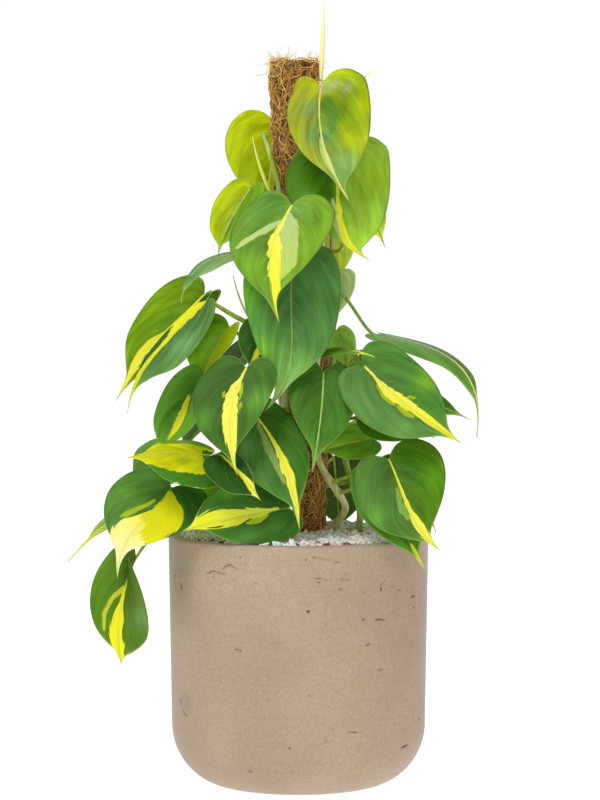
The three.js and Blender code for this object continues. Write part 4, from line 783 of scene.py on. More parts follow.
class Blade:
    """The bent, folded and cupped surface of one leaf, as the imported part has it."""

    def __init__(self, leaf):
        self.leaf = {**USUAL_LEAF, **leaf}
        chord = Vector(leaf["tip"]) - Vector(leaf["base"])
        self.length = chord.length
        self.axis = chord.normalized()
        self.normal = square(face_vector(leaf["face"]), self.axis)
        self.side = self.normal.cross(self.axis)

    def by_half(self, place, name):
        """A value of the leaf, for the half in which a place lies."""
        return np.where(place < 0, *self.leaf[name])

    def bow(self, v, name, way):
        """Bow of the midrib in leaf lengths: an even one, one towards the tip, and the drip tip's."""
        even, late = self.leaf[name]
        return even * 4 * v * (1 - v) + late * 6.75 * v * v * (1 - v) + self.leaf["hook"][way] * v ** 10

    def arch(self, v):
        """The midrib before it sways."""
        bow = self.bow(v, "bend", 0)
        line = np.asarray(v)[..., None] * self.length * np.array(self.axis)
        return np.array(self.leaf["base"]) + line + (self.length * bow)[..., None] * np.array(self.normal)

    def drift(self, v):
        """How far the midrib sways sideways, in mm."""
        return self.length * self.bow(v, "sway", 1)

    def flat(self, u, v):
        """Across and along in mm on the flat blade, for a share of the half and of the midrib."""
        stations, spans = zip(*ROW_STATIONS)
        outline = catmull(HALF_OUTLINE, np.interp(v, stations, spans) / OUTLINE_SPANS)
        across = np.maximum(0, outline[..., 0]) / WIDEST
        margin = outline[..., 1]
        fuller = self.by_half(u, "full")
        margin = np.where(margin > 0, margin + 2 * fuller * margin * (1 - margin), margin)
        margin = margin + self.by_half(u, "lean") * across * (1 - margin)
        half = self.by_half(u, "halves")
        return u * half * across, (v + (margin - v) * np.abs(u)) * self.length

    def place(self, across, distance):
        """The place on the bent blade of a place on the flat one."""
        v = np.clip(distance / self.length, 0, 1)
        tangent = unit_rows(self.arch(np.minimum(1, v + 0.01)) - self.arch(np.maximum(0, v - 0.01)))
        normal = np.array(self.normal)
        up = unit_rows(normal - tangent * (tangent @ normal)[..., None])
        fold = np.radians(self.by_half(across, "fold") + self.by_half(across, "curl") * (1 - v) ** 1.5)
        out = np.abs(across)
        ease = out * out / (out + 0.04 * self.length)
        rise = ease * np.sin(fold) - BLADE_CUP * out * out / sum(self.leaf["halves"])
        back = np.minimum(distance, 0)
        return (self.arch(v) + tangent * back[..., None] + up * rise[..., None]
            + (across * np.cos(fold) + self.drift(v))[..., None] * np.array(self.side))


def along_veins(v, edge):
    """The share of the midrib at which the side vein through a place leaves it.

    Side veins leave the midrib at a slant and bend further towards the tip.
    """
    return v - VEIN_SLANT * edge ** 1.15


def stroke_field(points, across, along, blade):
    """How deep each vertex lies inside a streak, in mm, and how far along the streak it is."""
    u, v, width = (np.array(column, float) for column in zip(*points))
    x, y = blade.flat(u, v)
    depth = np.full(across.shape, FAR_OFF)
    share = np.zeros(across.shape)
    jag = np.zeros(across.shape)
    for i in range(len(points) - 1):
        step = np.array((x[i + 1] - x[i], y[i + 1] - y[i]))
        along_step = ((across - x[i]) * step[0] + (along - y[i]) * step[1]) / max(step @ step, 1e-6)
        t = np.clip(along_step, 0, 1)
        gap = np.hypot(across - x[i] - t * step[0], along - y[i] - t * step[1])
        half = width[i] + (width[i + 1] - width[i]) * t
        inside = half - gap
        closer = inside > depth
        depth = np.where(closer, inside, depth)
        share = np.where(closer, (i + t) / (len(points) - 1), share)
        jag = np.where(closer, np.clip(0.24 * half - 0.1, 0.08, 1.1), jag)
    return depth, share, jag


def streaks(strokes, across, along, blade):
    """The field, the colour and the raggedness of all streaks of one kind."""
    depth = np.full(across.shape, FAR_OFF)
    jag = np.full(across.shape, 0.1)
    colour = np.tile(np.array(linear(LIME)), across.shape + (1,))
    for start, end, points in strokes:
        inside, share, rough = stroke_field(points, across, along, blade)
        closer = inside > depth
        tint = np.array(linear(start)) * (1 - share[..., None]) + np.array(linear(end)) * share[..., None]
        colour = np.where(closer[..., None], tint, colour)
        jag = np.where(closer, rough, jag)
        depth = np.where(closer, inside, depth)
    return depth, colour, jag


def ground_colour(marks, u, v, across, along, blade):
    """The green of the blade at each vertex: two halves, the tip and soft patches, with the painted light
    and painted shade that these hold.
    """
    left, right, tip = (np.array(linear(code)) for code in marks["ground"])
    share = np.clip(u / 0.3 + 0.5, 0, 1)[..., None]
    colour = left * (1 - share) + right * share
    towards_tip = (np.clip((v - 0.55) / 0.4, 0, 1) ** 2)[..., None]
    colour = colour * (1 - towards_tip) + tip * towards_tip
    colour = colour * (0.82 + 0.3 * np.abs(u))[..., None]
    for patch_u, patch_v, radius, code in marks.get("wash", ()):
        x, y = blade.flat(np.array(float(patch_u)), np.array(float(patch_v)))
        weight = np.exp(-((across - x) ** 2 + (along - y) ** 2) / radius ** 2)[..., None]
        colour = colour * (1 - weight) + np.array(linear(code)) * weight
    return colour


def natural_marks(name):
    """Streaks for a leaf that has none in the table: a ragged midrib streak with a few fingers."""
    chance = random.Random(name)
    green = chance.choice((GREEN, DEEP, FRESH, "#47823A"))
    drift = chance.uniform(-0.12, 0.12)
    widest = chance.uniform(1.2, 5.5)
    start = chance.uniform(0.1, 0.4)
    spine = [(0, 0, 0.5)]
    for step in range(1, 10):
        v = step / 9
        swell = max(0.0, math.sin(math.pi * min(1, max(0, (v - start) / (1 - start))))) ** 0.8
        spine.append((drift * math.sin(math.pi * v) * 2, v, 0.5 + widest * swell))
    fingers = []
    for _ in range(chance.randint(1, 3)):
        side = chance.choice((-1, 1))
        v = chance.uniform(0.15, 0.5)
        reach = chance.uniform(0.25, 0.75)
        fingers.append((LIME, SAGE, ((0.02 * side, v, 1.4), (0.5 * reach * side, v + 0.08, 2.4),
            (reach * side, v + 0.2, 1.0))))
    wash = ((-0.8, 0.4, 10, chance.choice((GREEN, FRESH, DEEP))),
        (0.8, 0.4, 10, chance.choice((GREEN, FRESH, DEEP))))
    return dict(ground=(green, green, FRESH), wash=wash, lime=fingers, yellow=((YELLOW, PALE, spine),))


def petiole_path(blade):
    """The stalk: out of the vine, in a curve to the notch, and on under the midrib."""
    leaf = blade.leaf
    point, direction, radius = vine_at(VINE_NAMES[leaf["vine"]], leaf["node"])
    base = Vector(leaf["base"])
    out = square(base - point, direction)
    foot = point + out * (radius + STEM_GAP)
    reach = (base - foot).length
    first, second = leaf["handles"]
    arrive = (blade.normal * 0.85 + blade.axis * 0.25).normalized()
    end = base - blade.normal * 0.25
    curve = bezier(foot, foot + out * reach * first, end - arrive * reach * second, end, STALK_STEPS)
    return [foot - out * (radius * 0.5 + STEM_GAP)] + curve


def add_stalk_and_rib(bm, blade, stalk_radius):
    """The stalk, thicker at both ends, and the midrib that stands out under the blade."""
    stalk = petiole_path(blade)
    shares = [i / (len(stalk) - 1) for i in range(len(stalk))]
    stalk_radii = [stalk_radius * (1.18 - 0.28 * t + 0.7 * math.exp(-16 * t)) for t in shares]
    rib_rows = np.linspace(0.0, RIB_END, RIB_POINTS)
    rib = [Vector(point) for point in blade.place(np.zeros(RIB_POINTS), rib_rows * blade.length)]
    rib_radii = [0.95 - 0.85 * row for row in rib_rows]
    rib = [point - blade.normal * (radius + 0.15) for point, radius in zip(rib, rib_radii)]
    for path, radii, sides in ((stalk, stalk_radii, STALK_SIDES), (rib, rib_radii, RIB_SIDES)):
        for face in sweep(bm, path, radii, sides):
            face.material_index = STALK


def wrapped_grid(bm, settings):
    """A grid that lies over the upper side and back under the blade: vertices, side, u and v."""
    old = set(bm.verts)
    bmesh.ops.create_grid(bm, x_segments=2 * settings.leaf_columns, y_segments=settings.leaf_rows, size=1.0)
    verts = [vert for vert in bm.verts if vert not in old]
    wrap = np.array([(vert.co.x + 1) / 2 for vert in verts])
    station = np.array([(1 - vert.co.y) / 2 for vert in verts])
    upper = wrap <= 0.5001
    u = np.where(upper, -1 + 4 * wrap, 1 - 4 * (wrap - 0.5))
    stations, spans = zip(*ROW_STATIONS)
    v = np.interp(np.clip(station, 0, 1) ** 0.94 * OUTLINE_SPANS, spans, stations)
    return verts, upper, u, v


def blade_surface(blade, settings, upper, u, v, phase):
    """Places of the grid's points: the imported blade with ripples, quilting, full halves and thickness."""
    across, along = blade.flat(u, v)
    nudge = 0.4
    beside = blade.place(across + nudge, along) - blade.place(across - nudge, along)
    ahead = blade.place(across, along + nudge) - blade.place(across, along - nudge)
    facing = unit_rows(np.cross(ahead, beside))
    edge = np.abs(u)
    wave = (settings.margin_wave * 1000 * edge ** 4 * np.sin(17 * v + phase + 2 * np.sign(u))
        * np.sin(np.pi * v))
    vein = along_veins(v, edge) * blade.length
    quilt = -0.2 * np.cos(vein * 2 * np.pi / (settings.vein_spacing * 1000)) * (1 - edge ** 2) * edge ** 0.5
    pillow = (settings.pillow * 1000 * np.sin(np.pi * edge ** 0.85)
        * np.sin(np.pi * np.clip(v, 0.03, 1)) ** 0.5)
    body = np.where(upper, 0.0, -settings.leaf_thickness * 1000 * (1 - edge ** 8))
    lift = wave + (quilt + pillow) * np.minimum(1, 6 * v) + body
    return blade.place(across, along) + facing * lift[..., None]


def build_leaf(name, settings, materials):
    """One blade with its stalk and midrib: three closed shells in one piece."""
    blade = Blade(LEAVES[name])
    marks = MARKS.get(name) or natural_marks(name)
    bm = bmesh.new()
    layers = [bm.verts.layers.float_vector.new("blade"), bm.verts.layers.float_vector.new("marks")]
    layers += [bm.verts.layers.float_color.new(kind) for kind in ("ground", "lime", "yellow")]
    add_stalk_and_rib(bm, blade, settings.petiole_radius * 1000)
    verts, upper, u, v = wrapped_grid(bm, settings)
    phase = random.Random(name + "wave").uniform(0, 6.28)
    points = blade_surface(blade, settings, upper, u, v, phase)

    across, along = blade.flat(u, v)
    vein = along_veins(v, np.abs(u)) * blade.length + PATTERN_SHIFT * int(name[-2:])
    outline = np.abs(blade.flat(np.sign(u + 1e-9), v)[0])
    rim = (1 - np.abs(u)) * np.maximum(outline, 0.3)
    lime, lime_tint, lime_jag = streaks(marks.get("lime", ()), across, along, blade)
    yellow, yellow_tint, yellow_jag = streaks(marks.get("yellow", ()), across, along, blade)
    jag = np.where(yellow > lime - 2, yellow_jag, lime_jag)
    ground = ground_colour(marks, u, v, across, along, blade)
    values = (np.stack((across, vein, rim), axis=-1), np.stack((yellow, lime, jag), axis=-1), ground,
        lime_tint, yellow_tint)
    for i, vert in enumerate(verts):
        vert.co = points[i]
        for layer, rows in zip(layers, values):
            vert[layer] = rows[i]

    under = {vert for vert, top in zip(verts, upper) if not top}
    for face in bm.faces:
        if face.material_index != STALK:
            face.material_index = UNDER if any(vert in under for vert in face.verts) else UPPER
    bmesh.ops.remove_doubles(bm, verts=verts, dist=0.004)
    sheet = [face for face in bm.faces if face.material_index != STALK]
    bmesh.ops.recalc_face_normals(bm, faces=sheet)
    return finish_piece(bm, name + "_blade", materials, name)


# Stems and the rolled new leaf

def build_vine(name, materials):
    """One climbing stem with swollen nodes, short aerial roots and its sheaths."""
    foot, head = VINES[name][0]
    path = vine_path(name, VINE_STEPS)
    last = len(path) - 1
    nodes = sorted(leaf["node"] for leaf in LEAVES.values() if VINE_NAMES[leaf["vine"]] == name)
    radii = []
    for i, point in enumerate(path):
        near = min(abs(point.z - node) for node in nodes)
        swelling = 1 + NODE_SWELLING * math.exp(-(near / NODE_LENGTH) ** 2)
        radii.append((foot + (head - foot) * i / last) * swelling)
    bm = bmesh.new()
    sweep(bm, path, radii, VINE_SIDES)
    for owner, line, sheath_radii in SHEATHS:
        if owner == name:
            curve = bezier(*[Vector(point) for point in line], SHEATH_STEPS)
            shares = [i / SHEATH_STEPS for i in range(SHEATH_STEPS + 1)]
            width = np.interp(shares, np.linspace(0, 1, len(sheath_radii)), sheath_radii)
            for face in sweep(bm, curve, width.tolist(), STALK_SIDES, SHEATH_FLATNESS):
                face.material_index = SHEATH
    chance = random.Random(name)
    for node in nodes:
        point, direction, radius = vine_at(name, node)
        centre = pole_centre(point.z)
        inward = square(centre - point, direction)
        for _ in range(ROOTS_AT_NODE if (centre - point).length <= ROOT_REACH else 0):
            turn = Matrix.Rotation(chance.uniform(-ROOT_TURN, ROOT_TURN), 3, direction)
            out = turn @ inward
            length = chance.uniform(*ROOT_LENGTHS)
            tip = point + out * length + direction * chance.uniform(-ROOT_RISE, ROOT_RISE)
            root = [point.lerp(tip, i / (len(ROOT_RADII) - 1)) for i in range(len(ROOT_RADII))]
            for face in sweep(bm, root, ROOT_RADII, ROOT_SIDES):
                face.material_index = ROOT
    return finish_piece(bm, name + "_stem", materials, name)


def build_new_leaf(material):
    """The unopened blade: a sheet rolled into a pointed quill, with its edge showing as a spiral."""
    path = bezier(*[Vector(point) for point in SPEAR], SPEAR_STEPS)
    shares = np.linspace(0, 1, SPEAR_STEPS + 1)
    radii = np.interp(shares, np.linspace(0, 1, len(SPEAR_RADII)), SPEAR_RADII).tolist()
    bm = bmesh.new()
    bmesh.ops.create_grid(bm, x_segments=SPEAR_COLUMNS, y_segments=SPEAR_STEPS, size=1.0)
    around = bm.verts.layers.float.new("roll")
    side = Vector((1, 0, 0))
    for vert in bm.verts:
        turn = (vert.co.x + 1) / 2
        i = round((vert.co.y + 1) / 2 * SPEAR_STEPS)
        ahead = (path[min(i + 1, SPEAR_STEPS)] - path[max(i - 1, 0)]).normalized()
        place, _ = section(path[i], ahead, side, 1.0)
        angle = 2 * math.pi * SPEAR_TURNS * turn + 2.1 + 0.6 * i / SPEAR_STEPS
        reach = radii[i] * (0.55 + 0.45 * turn)
        vert[around] = turn
        vert.co = place @ Vector((reach * math.cos(angle), reach * math.sin(angle), 0))
    bmesh.ops.recalc_face_normals(bm, faces=bm.faces)
    bmesh.ops.solidify(bm, geom=bm.faces, thickness=SPEAR_SHEET)
    rows = range(0, SPEAR_STEPS, 3)
    sweep(bm, [path[i] for i in rows], [radii[i] * 0.5 for i in rows], STALK_SIDES)
    return finish_piece(bm, "new_leaf_quill", [material], "new_leaf")


# Coir

def coir_lump(angle, z):
    """How far the loose coir stands out of the even pole at a place, in mm."""
    spot = Vector((math.sin(angle) * 20, math.cos(angle) * 20, z))
    return 1.9 * noise.noise(spot * 0.09) + 0.9 * noise.noise(spot * 0.22)


def build_coir_mat(material):
    """The felted mat under the loose fibres: a thick tube with an uneven surface."""
    wall = [(sleeve_radius(z) - MAT_INSET, z) for z in np.arange(*MAT_ROWS)]
    bm = bmesh.new()
    turn_profile(bm, wall + list(MAT_TOP_AND_BORE), MAT_COLUMNS, closed=True)
    for vert in bm.verts:
        radius = math.hypot(vert.co.x, vert.co.y)
        if radius > MAT_BORE_EDGE:
            lump = coir_lump(math.atan2(vert.co.x, -vert.co.y), vert.co.z)
            vert.co.x *= 1 + lump / radius
            vert.co.y *= 1 + lump / radius
        x, y, _ = pole_centre(vert.co.z)
        vert.co.x += x
        vert.co.y += y
    bmesh.ops.recalc_face_normals(bm, faces=bm.faces)
    return finish_piece(bm, "coir_mat", [material], "coir_sleeve")


def fibre_path(chance):
    """One loose fibre that curls over the mat, dips in and springs out at its ends."""
    angle = chance.uniform(0, 2 * math.pi)
    z = chance.uniform(*FIBRE_STARTS)
    heading = chance.uniform(0, 2 * math.pi)
    step = chance.uniform(1.3, 3.4) if chance.random() < 0.85 else chance.uniform(4, 7)
    turn = chance.gauss(0, 0.3)
    lift = chance.uniform(-0.7, 0.8)
    spring = 0.55 if chance.random() < 0.12 else 0.0
    points = []
    for i in range(FIBRE_POINTS):
        radius = sleeve_radius(min(z, 556)) + lift + coir_lump(angle, z) - 0.5 - 0.09 * (i - 3) ** 2
        radius += spring * max(0, i - 2) ** 1.3
        if z > POLE_EDGE:
            radius *= 1 - min(0.6, (z - POLE_EDGE) * 0.05)
        x, y, _ = pole_centre(z)
        points.append((x + radius * math.sin(angle), y - radius * math.cos(angle), z))
        heading += turn + chance.gauss(0, 0.2)
        angle += step * math.cos(heading) / max(radius, 6)
        z = min(FIBRE_LIMITS[1], max(FIBRE_LIMITS[0], z + step * math.sin(heading)))
    return points


def any_way(chance, spread):
    """A vector that points any way."""
    return Vector([chance.gauss(0, spread) for _ in range(3)])


def wisp_path(start, heading, length, chance, droop):
    """A long loose fibre that springs off the top of the pole."""
    point = Vector(start)
    direction = Vector(heading).normalized()
    points = [tuple(point)]
    bend = any_way(chance, 1) * 0.28
    for _ in range(WISP_STEPS):
        direction = (direction + bend + Vector((0, 0, -droop)) + any_way(chance, 0.12)).normalized()
        point = point + direction * (length / WISP_STEPS)
        points.append(tuple(point))
    return points


def loop_path(centre, radius, turns):
    """A fibre that has curled up to a loop."""
    points = []
    for i in range(int(LOOP_STEPS * turns) + 1):
        angle = 0.6 + i * 2 * math.pi / LOOP_STEPS
        reach = radius * (1 + 0.05 * math.sin(2.3 * i))
        points.append((centre[0] + reach * math.cos(angle), centre[1] - 0.12 * i,
            centre[2] + 0.8 * reach * math.sin(angle)))
    return points


def wisps_at_top(chance):
    """Fibres at the end of the pole: short ones all round, a tuft on its left, and the drawn ones."""
    x, y, _ = pole_centre(WISP_LEVEL)
    wisps = []
    for _ in range(RIM_WISPS):
        angle = chance.uniform(0, 6.28)
        reach = chance.uniform(8, 20)
        start = (x + reach * math.cos(angle), y + reach * math.sin(angle), chance.uniform(553, 556.5))
        heading = (math.cos(angle + chance.gauss(0, 0.8)), math.sin(angle + chance.gauss(0, 0.8)),
            chance.uniform(-0.1, 0.9))
        wisps.append(wisp_path(start, heading, chance.uniform(4, 11), chance, 0.1))
    for _ in range(TUFT_WISPS):
        start = (x - chance.uniform(3, 20), y - chance.uniform(4, 17), chance.uniform(552, 557))
        heading = (chance.gauss(-0.3, 0.7), chance.gauss(-0.3, 0.5), chance.uniform(0, 0.8))
        wisps.append(wisp_path(start, heading, chance.uniform(4, 10), chance, 0.14))
    wisps += [wisp_path(*wisp, chance, 0.06) for wisp in TOP_WISPS]
    return wisps + [loop_path(*loop) for loop in TOP_LOOPS]


def build_fibres(name, paths, radius, material):
    """Many thin strands as one mesh, with a tone for each strand."""
    curve = bpy.data.curves.new(name, "CURVE")
    curve.dimensions = "3D"
    curve.bevel_depth = 1.0
    curve.bevel_resolution = 0
    curve.use_fill_caps = True
    chance = random.Random(name)
    for path in paths:
        spline = curve.splines.new("POLY")
        spline.points.add(len(path) - 1)
        thick = radius * chance.uniform(0.65, 1.35)
        for i, point in enumerate(path):
            spline.points[i].co = (*point, 1)
            spline.points[i].radius = thick * (0.45 if i in (0, len(path) - 1) else 1.0)
    carrier = bpy.data.objects.new(name + "_lines", curve)
    bpy.context.scene.collection.objects.link(carrier)
    bpy.context.view_layer.update()
    mesh = bpy.data.meshes.new_from_object(carrier.evaluated_get(bpy.context.evaluated_depsgraph_get()))
    bpy.data.objects.remove(carrier)
    bpy.data.curves.remove(curve)
    bm = bmesh.new()
    bm.from_mesh(mesh)
    bpy.data.meshes.remove(mesh)
    tone = bm.verts.layers.float.new("tone")
    share = len(bm.verts) // len(paths)
    shades = [chance.random() for _ in paths]
    for i, vert in enumerate(bm.verts):
        vert[tone] = shades[min(i // share, len(shades) - 1)]
    return finish_piece(bm, name, [material])


# Granules

def granule_shapes(chance, count):
    """Small stones: a rounded cut cube with every corner moved, and how lit each vertex is painted, with
    painted shade at the corners.
    """
    shapes = []
    for _ in range(count):
        bm = bmesh.new()
        bmesh.ops.create_cube(bm, size=1.35)
        bmesh.ops.subdivide_edges(bm, edges=bm.edges, cuts=1, use_grid_fill=True, smooth=1.0)
        lit_share = [LIT_SHARE[sum(abs(value) > 0.01 for value in vert.co) - 1] for vert in bm.verts]
        for vert in bm.verts:
            vert.co *= chance.uniform(0.84, 1.1)
        mesh = bpy.data.meshes.new("stone")
        bm.to_mesh(mesh)
        bm.free()
        shapes.append((mesh, lit_share))
    return shapes


def granule_places(settings, chance):
    """Places on a shaken six-sided grid over the bed, clear of the pole and the stems."""
    foot = pole_centre(HOLE_LEVEL)
    holes = [(foot.x, foot.y, POLE_CLEARANCE)]
    for _, points in VINES.values():
        holes.append((*points[1][:2], STEM_CLEARANCE))
    pitch = settings.granule_pitch * 1000
    reach = POT_RIM_RADIUS - POT_WALL - WALL_CLEARANCE
    rows = int(reach / (pitch * ROW_SHARE)) + 1
    for row in range(-rows, rows + 1):
        for column in range(-rows - 8, rows + 9):
            x = (column + 0.5 * (row % 2)) * pitch + chance.uniform(-GRID_SHAKE, GRID_SHAKE) * pitch
            y = row * pitch * ROW_SHARE + chance.uniform(-GRID_SHAKE, GRID_SHAKE) * pitch
            if math.hypot(x, y) > reach:
                continue
            if any(math.hypot(x - hole_x, y - hole_y) < radius for hole_x, hole_y, radius in holes):
                continue
            yield x, y


def build_granules(settings, finishes):
    """The bed of stones: one layer that is half sunk and scattered stones on top of it."""
    chance = random.Random("granules")
    shapes = granule_shapes(chance, STONE_SHAPES)
    beds = {name: bmesh.new() for name in GRANULES}
    for bed in beds.values():
        bed.verts.layers.float.new("tone")
        bed.verts.layers.float.new("lit_share")
    shares = [share for share, *_ in GRANULES.values()]
    for x, y in granule_places(settings, chance):
        kind = chance.choices(list(GRANULES), shares)[0]
        low, high = GRANULES[kind][1]
        size = low + (high - low) * chance.random() ** 1.6
        stretch = Matrix.Diagonal((size, size * chance.uniform(0.7, 0.95),
            size * chance.uniform(0.7, 0.95), 1))
        turn = (Matrix.Rotation(chance.uniform(0, 6.28), 4, "Z")
            @ Matrix.Rotation(chance.gauss(0, STONE_TILT), 4, "X")
            @ Matrix.Rotation(chance.gauss(0, STONE_TILT), 4, "Y"))
        lift = SOIL_LEVEL - STONE_SINK + STONE_RISE * chance.random() ** 1.5
        shape, values = chance.choice(shapes)
        stone = shape.copy()
        stone.transform(Matrix.Translation((x, y, lift)) @ turn @ stretch)
        bed = beds[kind]
        first = len(bed.verts)
        bed.from_mesh(stone)
        bed.verts.ensure_lookup_table()
        shade = chance.random()
        tone, lit_share = (bed.verts.layers.float[layer] for layer in ("tone", "lit_share"))
        for vert, value in zip(bed.verts[first:], values):
            vert[tone] = shade
            vert[lit_share] = value
        bpy.data.meshes.remove(stone)
    for name, bed in beds.items():
        finish_piece(bed, "granules_" + name, [finishes[name]]).data.shade_flat()
    for shape, _ in shapes:
        bpy.data.meshes.remove(shape)


# Pot

def pot_radius(height):
    """Outer radius of the pot: a rounded lower corner and a slightly flared wall."""
    if height >= POT_CORNER_HEIGHT:
        share = (height - POT_CORNER_HEIGHT) / (POT_HEIGHT - POT_CORNER_HEIGHT)
        return POT_LOWER_RADIUS + (POT_RIM_RADIUS - POT_LOWER_RADIUS) * share
    drop = 1 - height / POT_CORNER_HEIGHT
    return POT_BASE_RADIUS + (POT_LOWER_RADIUS - POT_BASE_RADIUS) * math.sqrt(1 - drop * drop)


def wall_marks():
    """All cracks and pits as (azimuth in degrees, height, half width): the drawn front, a seeded rest."""
    marks = []
    for points in POT_MARKS:
        marks.append([(math.degrees(math.asin(x / pot_radius(z))), z, half) for x, z, half in points])
    chance = random.Random("wall")
    for _ in range(BACK_MARKS):
        azimuth = chance.uniform(95, 265)
        height = chance.uniform(16, 188)
        half = chance.choice((0.4, 0.5, 0.6, 0.7, 1.0))
        length = chance.choice((0.4, 0.5, 0.8, 1.2, 2.5, 4.5))
        slope = chance.gauss(0, 0.5)
        mark = []
        for i in range(3):
            mark.append((azimuth + i * length / 1.7 * 0.5, height + slope * i * length * 0.4
                + chance.uniform(-0.3, 0.3), half * (1.0, 0.9, 0.6)[i]))
        marks.append(mark)
    return marks


def chip_depth(azimuth, height, marks):
    """How deep a place on the wall lies inside the nearest crack or pit, in mm."""
    deepest = UNHURT
    for mark in marks:
        if abs(height - mark[0][1]) > MARK_REACH:
            continue
        scale = math.radians(1) * pot_radius(mark[0][1])
        for (a, z, half), (b, y, following) in zip(mark, mark[1:]):
            dx = (b - a) * scale
            dz = y - z
            px = ((azimuth - a + 180) % 360 - 180) * scale
            pz = height - z
            share = max(0.0, min(1.0, (px * dx + pz * dz) / max(dx * dx + dz * dz, 1e-6)))
            gap = math.hypot(px - share * dx, pz - share * dz)
            deepest = max(deepest, half + (following - half) * share - gap)
    return deepest


def build_pot(material):
    """The pot: a turned profile whose wall is cut finer at the cracks and pits, and sunk there."""
    span = POT_LOWER_RADIUS - POT_BASE_RADIUS
    profile = [(0, 0), (POT_BASE_RADIUS * 0.5, 0), (POT_BASE_RADIUS, 0)]
    for step in range(1, POT_CORNER_STEPS):
        angle = math.pi / 2 * step / POT_CORNER_STEPS
        profile.append((POT_BASE_RADIUS + span * math.sin(angle),
            POT_CORNER_HEIGHT * (1 - math.cos(angle))))
    wall_rows = np.linspace(POT_CORNER_HEIGHT, POT_HEIGHT - RIM_ROUNDING, POT_WALL_ROWS)
    profile += [(pot_radius(z), z) for z in wall_rows]
    for edge, way, turns in ((POT_RIM_RADIUS, -1, (25, 50, 75, 90)),
            (POT_RIM_RADIUS - POT_WALL, 1, (90, 60, 30, 0))):
        for turn in turns:
            angle = math.radians(turn)
            profile.append((edge + way * RIM_ROUNDING * (1 - math.cos(angle)),
                POT_HEIGHT - RIM_ROUNDING * (1 - math.sin(angle))))
    profile += [(pot_radius(z) - wall, z) for z, wall in POT_INSIDE] + [(0, POT_FLOOR)]
    bm = bmesh.new()
    turn_profile(bm, profile, POT_COLUMNS, closed=False)
    bmesh.ops.remove_doubles(bm, verts=bm.verts, dist=0.01)
    marks = wall_marks()

    def outside(co):
        level = MARK_LEVEL < co.z < POT_HEIGHT - RIM_ROUNDING
        return level and math.hypot(co.x, co.y) > pot_radius(co.z) - OUTER_SKIN

    def depth_at(co):
        return chip_depth(math.degrees(math.atan2(co.x, -co.y)), co.z, marks)

    near = [edge for edge in bm.edges if outside(edge.verts[0].co) and outside(edge.verts[1].co)
        and depth_at((edge.verts[0].co + edge.verts[1].co) / 2) > MARK_FINE]
    bmesh.ops.subdivide_edges(bm, edges=near, cuts=3, use_grid_fill=True)
    chip = bm.verts.layers.float.new("chip")
    for vert in bm.verts:
        if not outside(vert.co):
            vert[chip] = UNHURT
            continue
        depth = depth_at(vert.co)
        vert[chip] = depth
        reach = pot_radius(vert.co.z) / math.hypot(vert.co.x, vert.co.y)
        sink = MARK_SINK * max(0.0, min(1.0, depth + 0.5)) / pot_radius(vert.co.z)
        vert.co.x *= reach - sink
        vert.co.y *= reach - sink
    bmesh.ops.recalc_face_normals(bm, faces=bm.faces)
    return finish_piece(bm, "pot_shell", [material], "pot")


# Materials

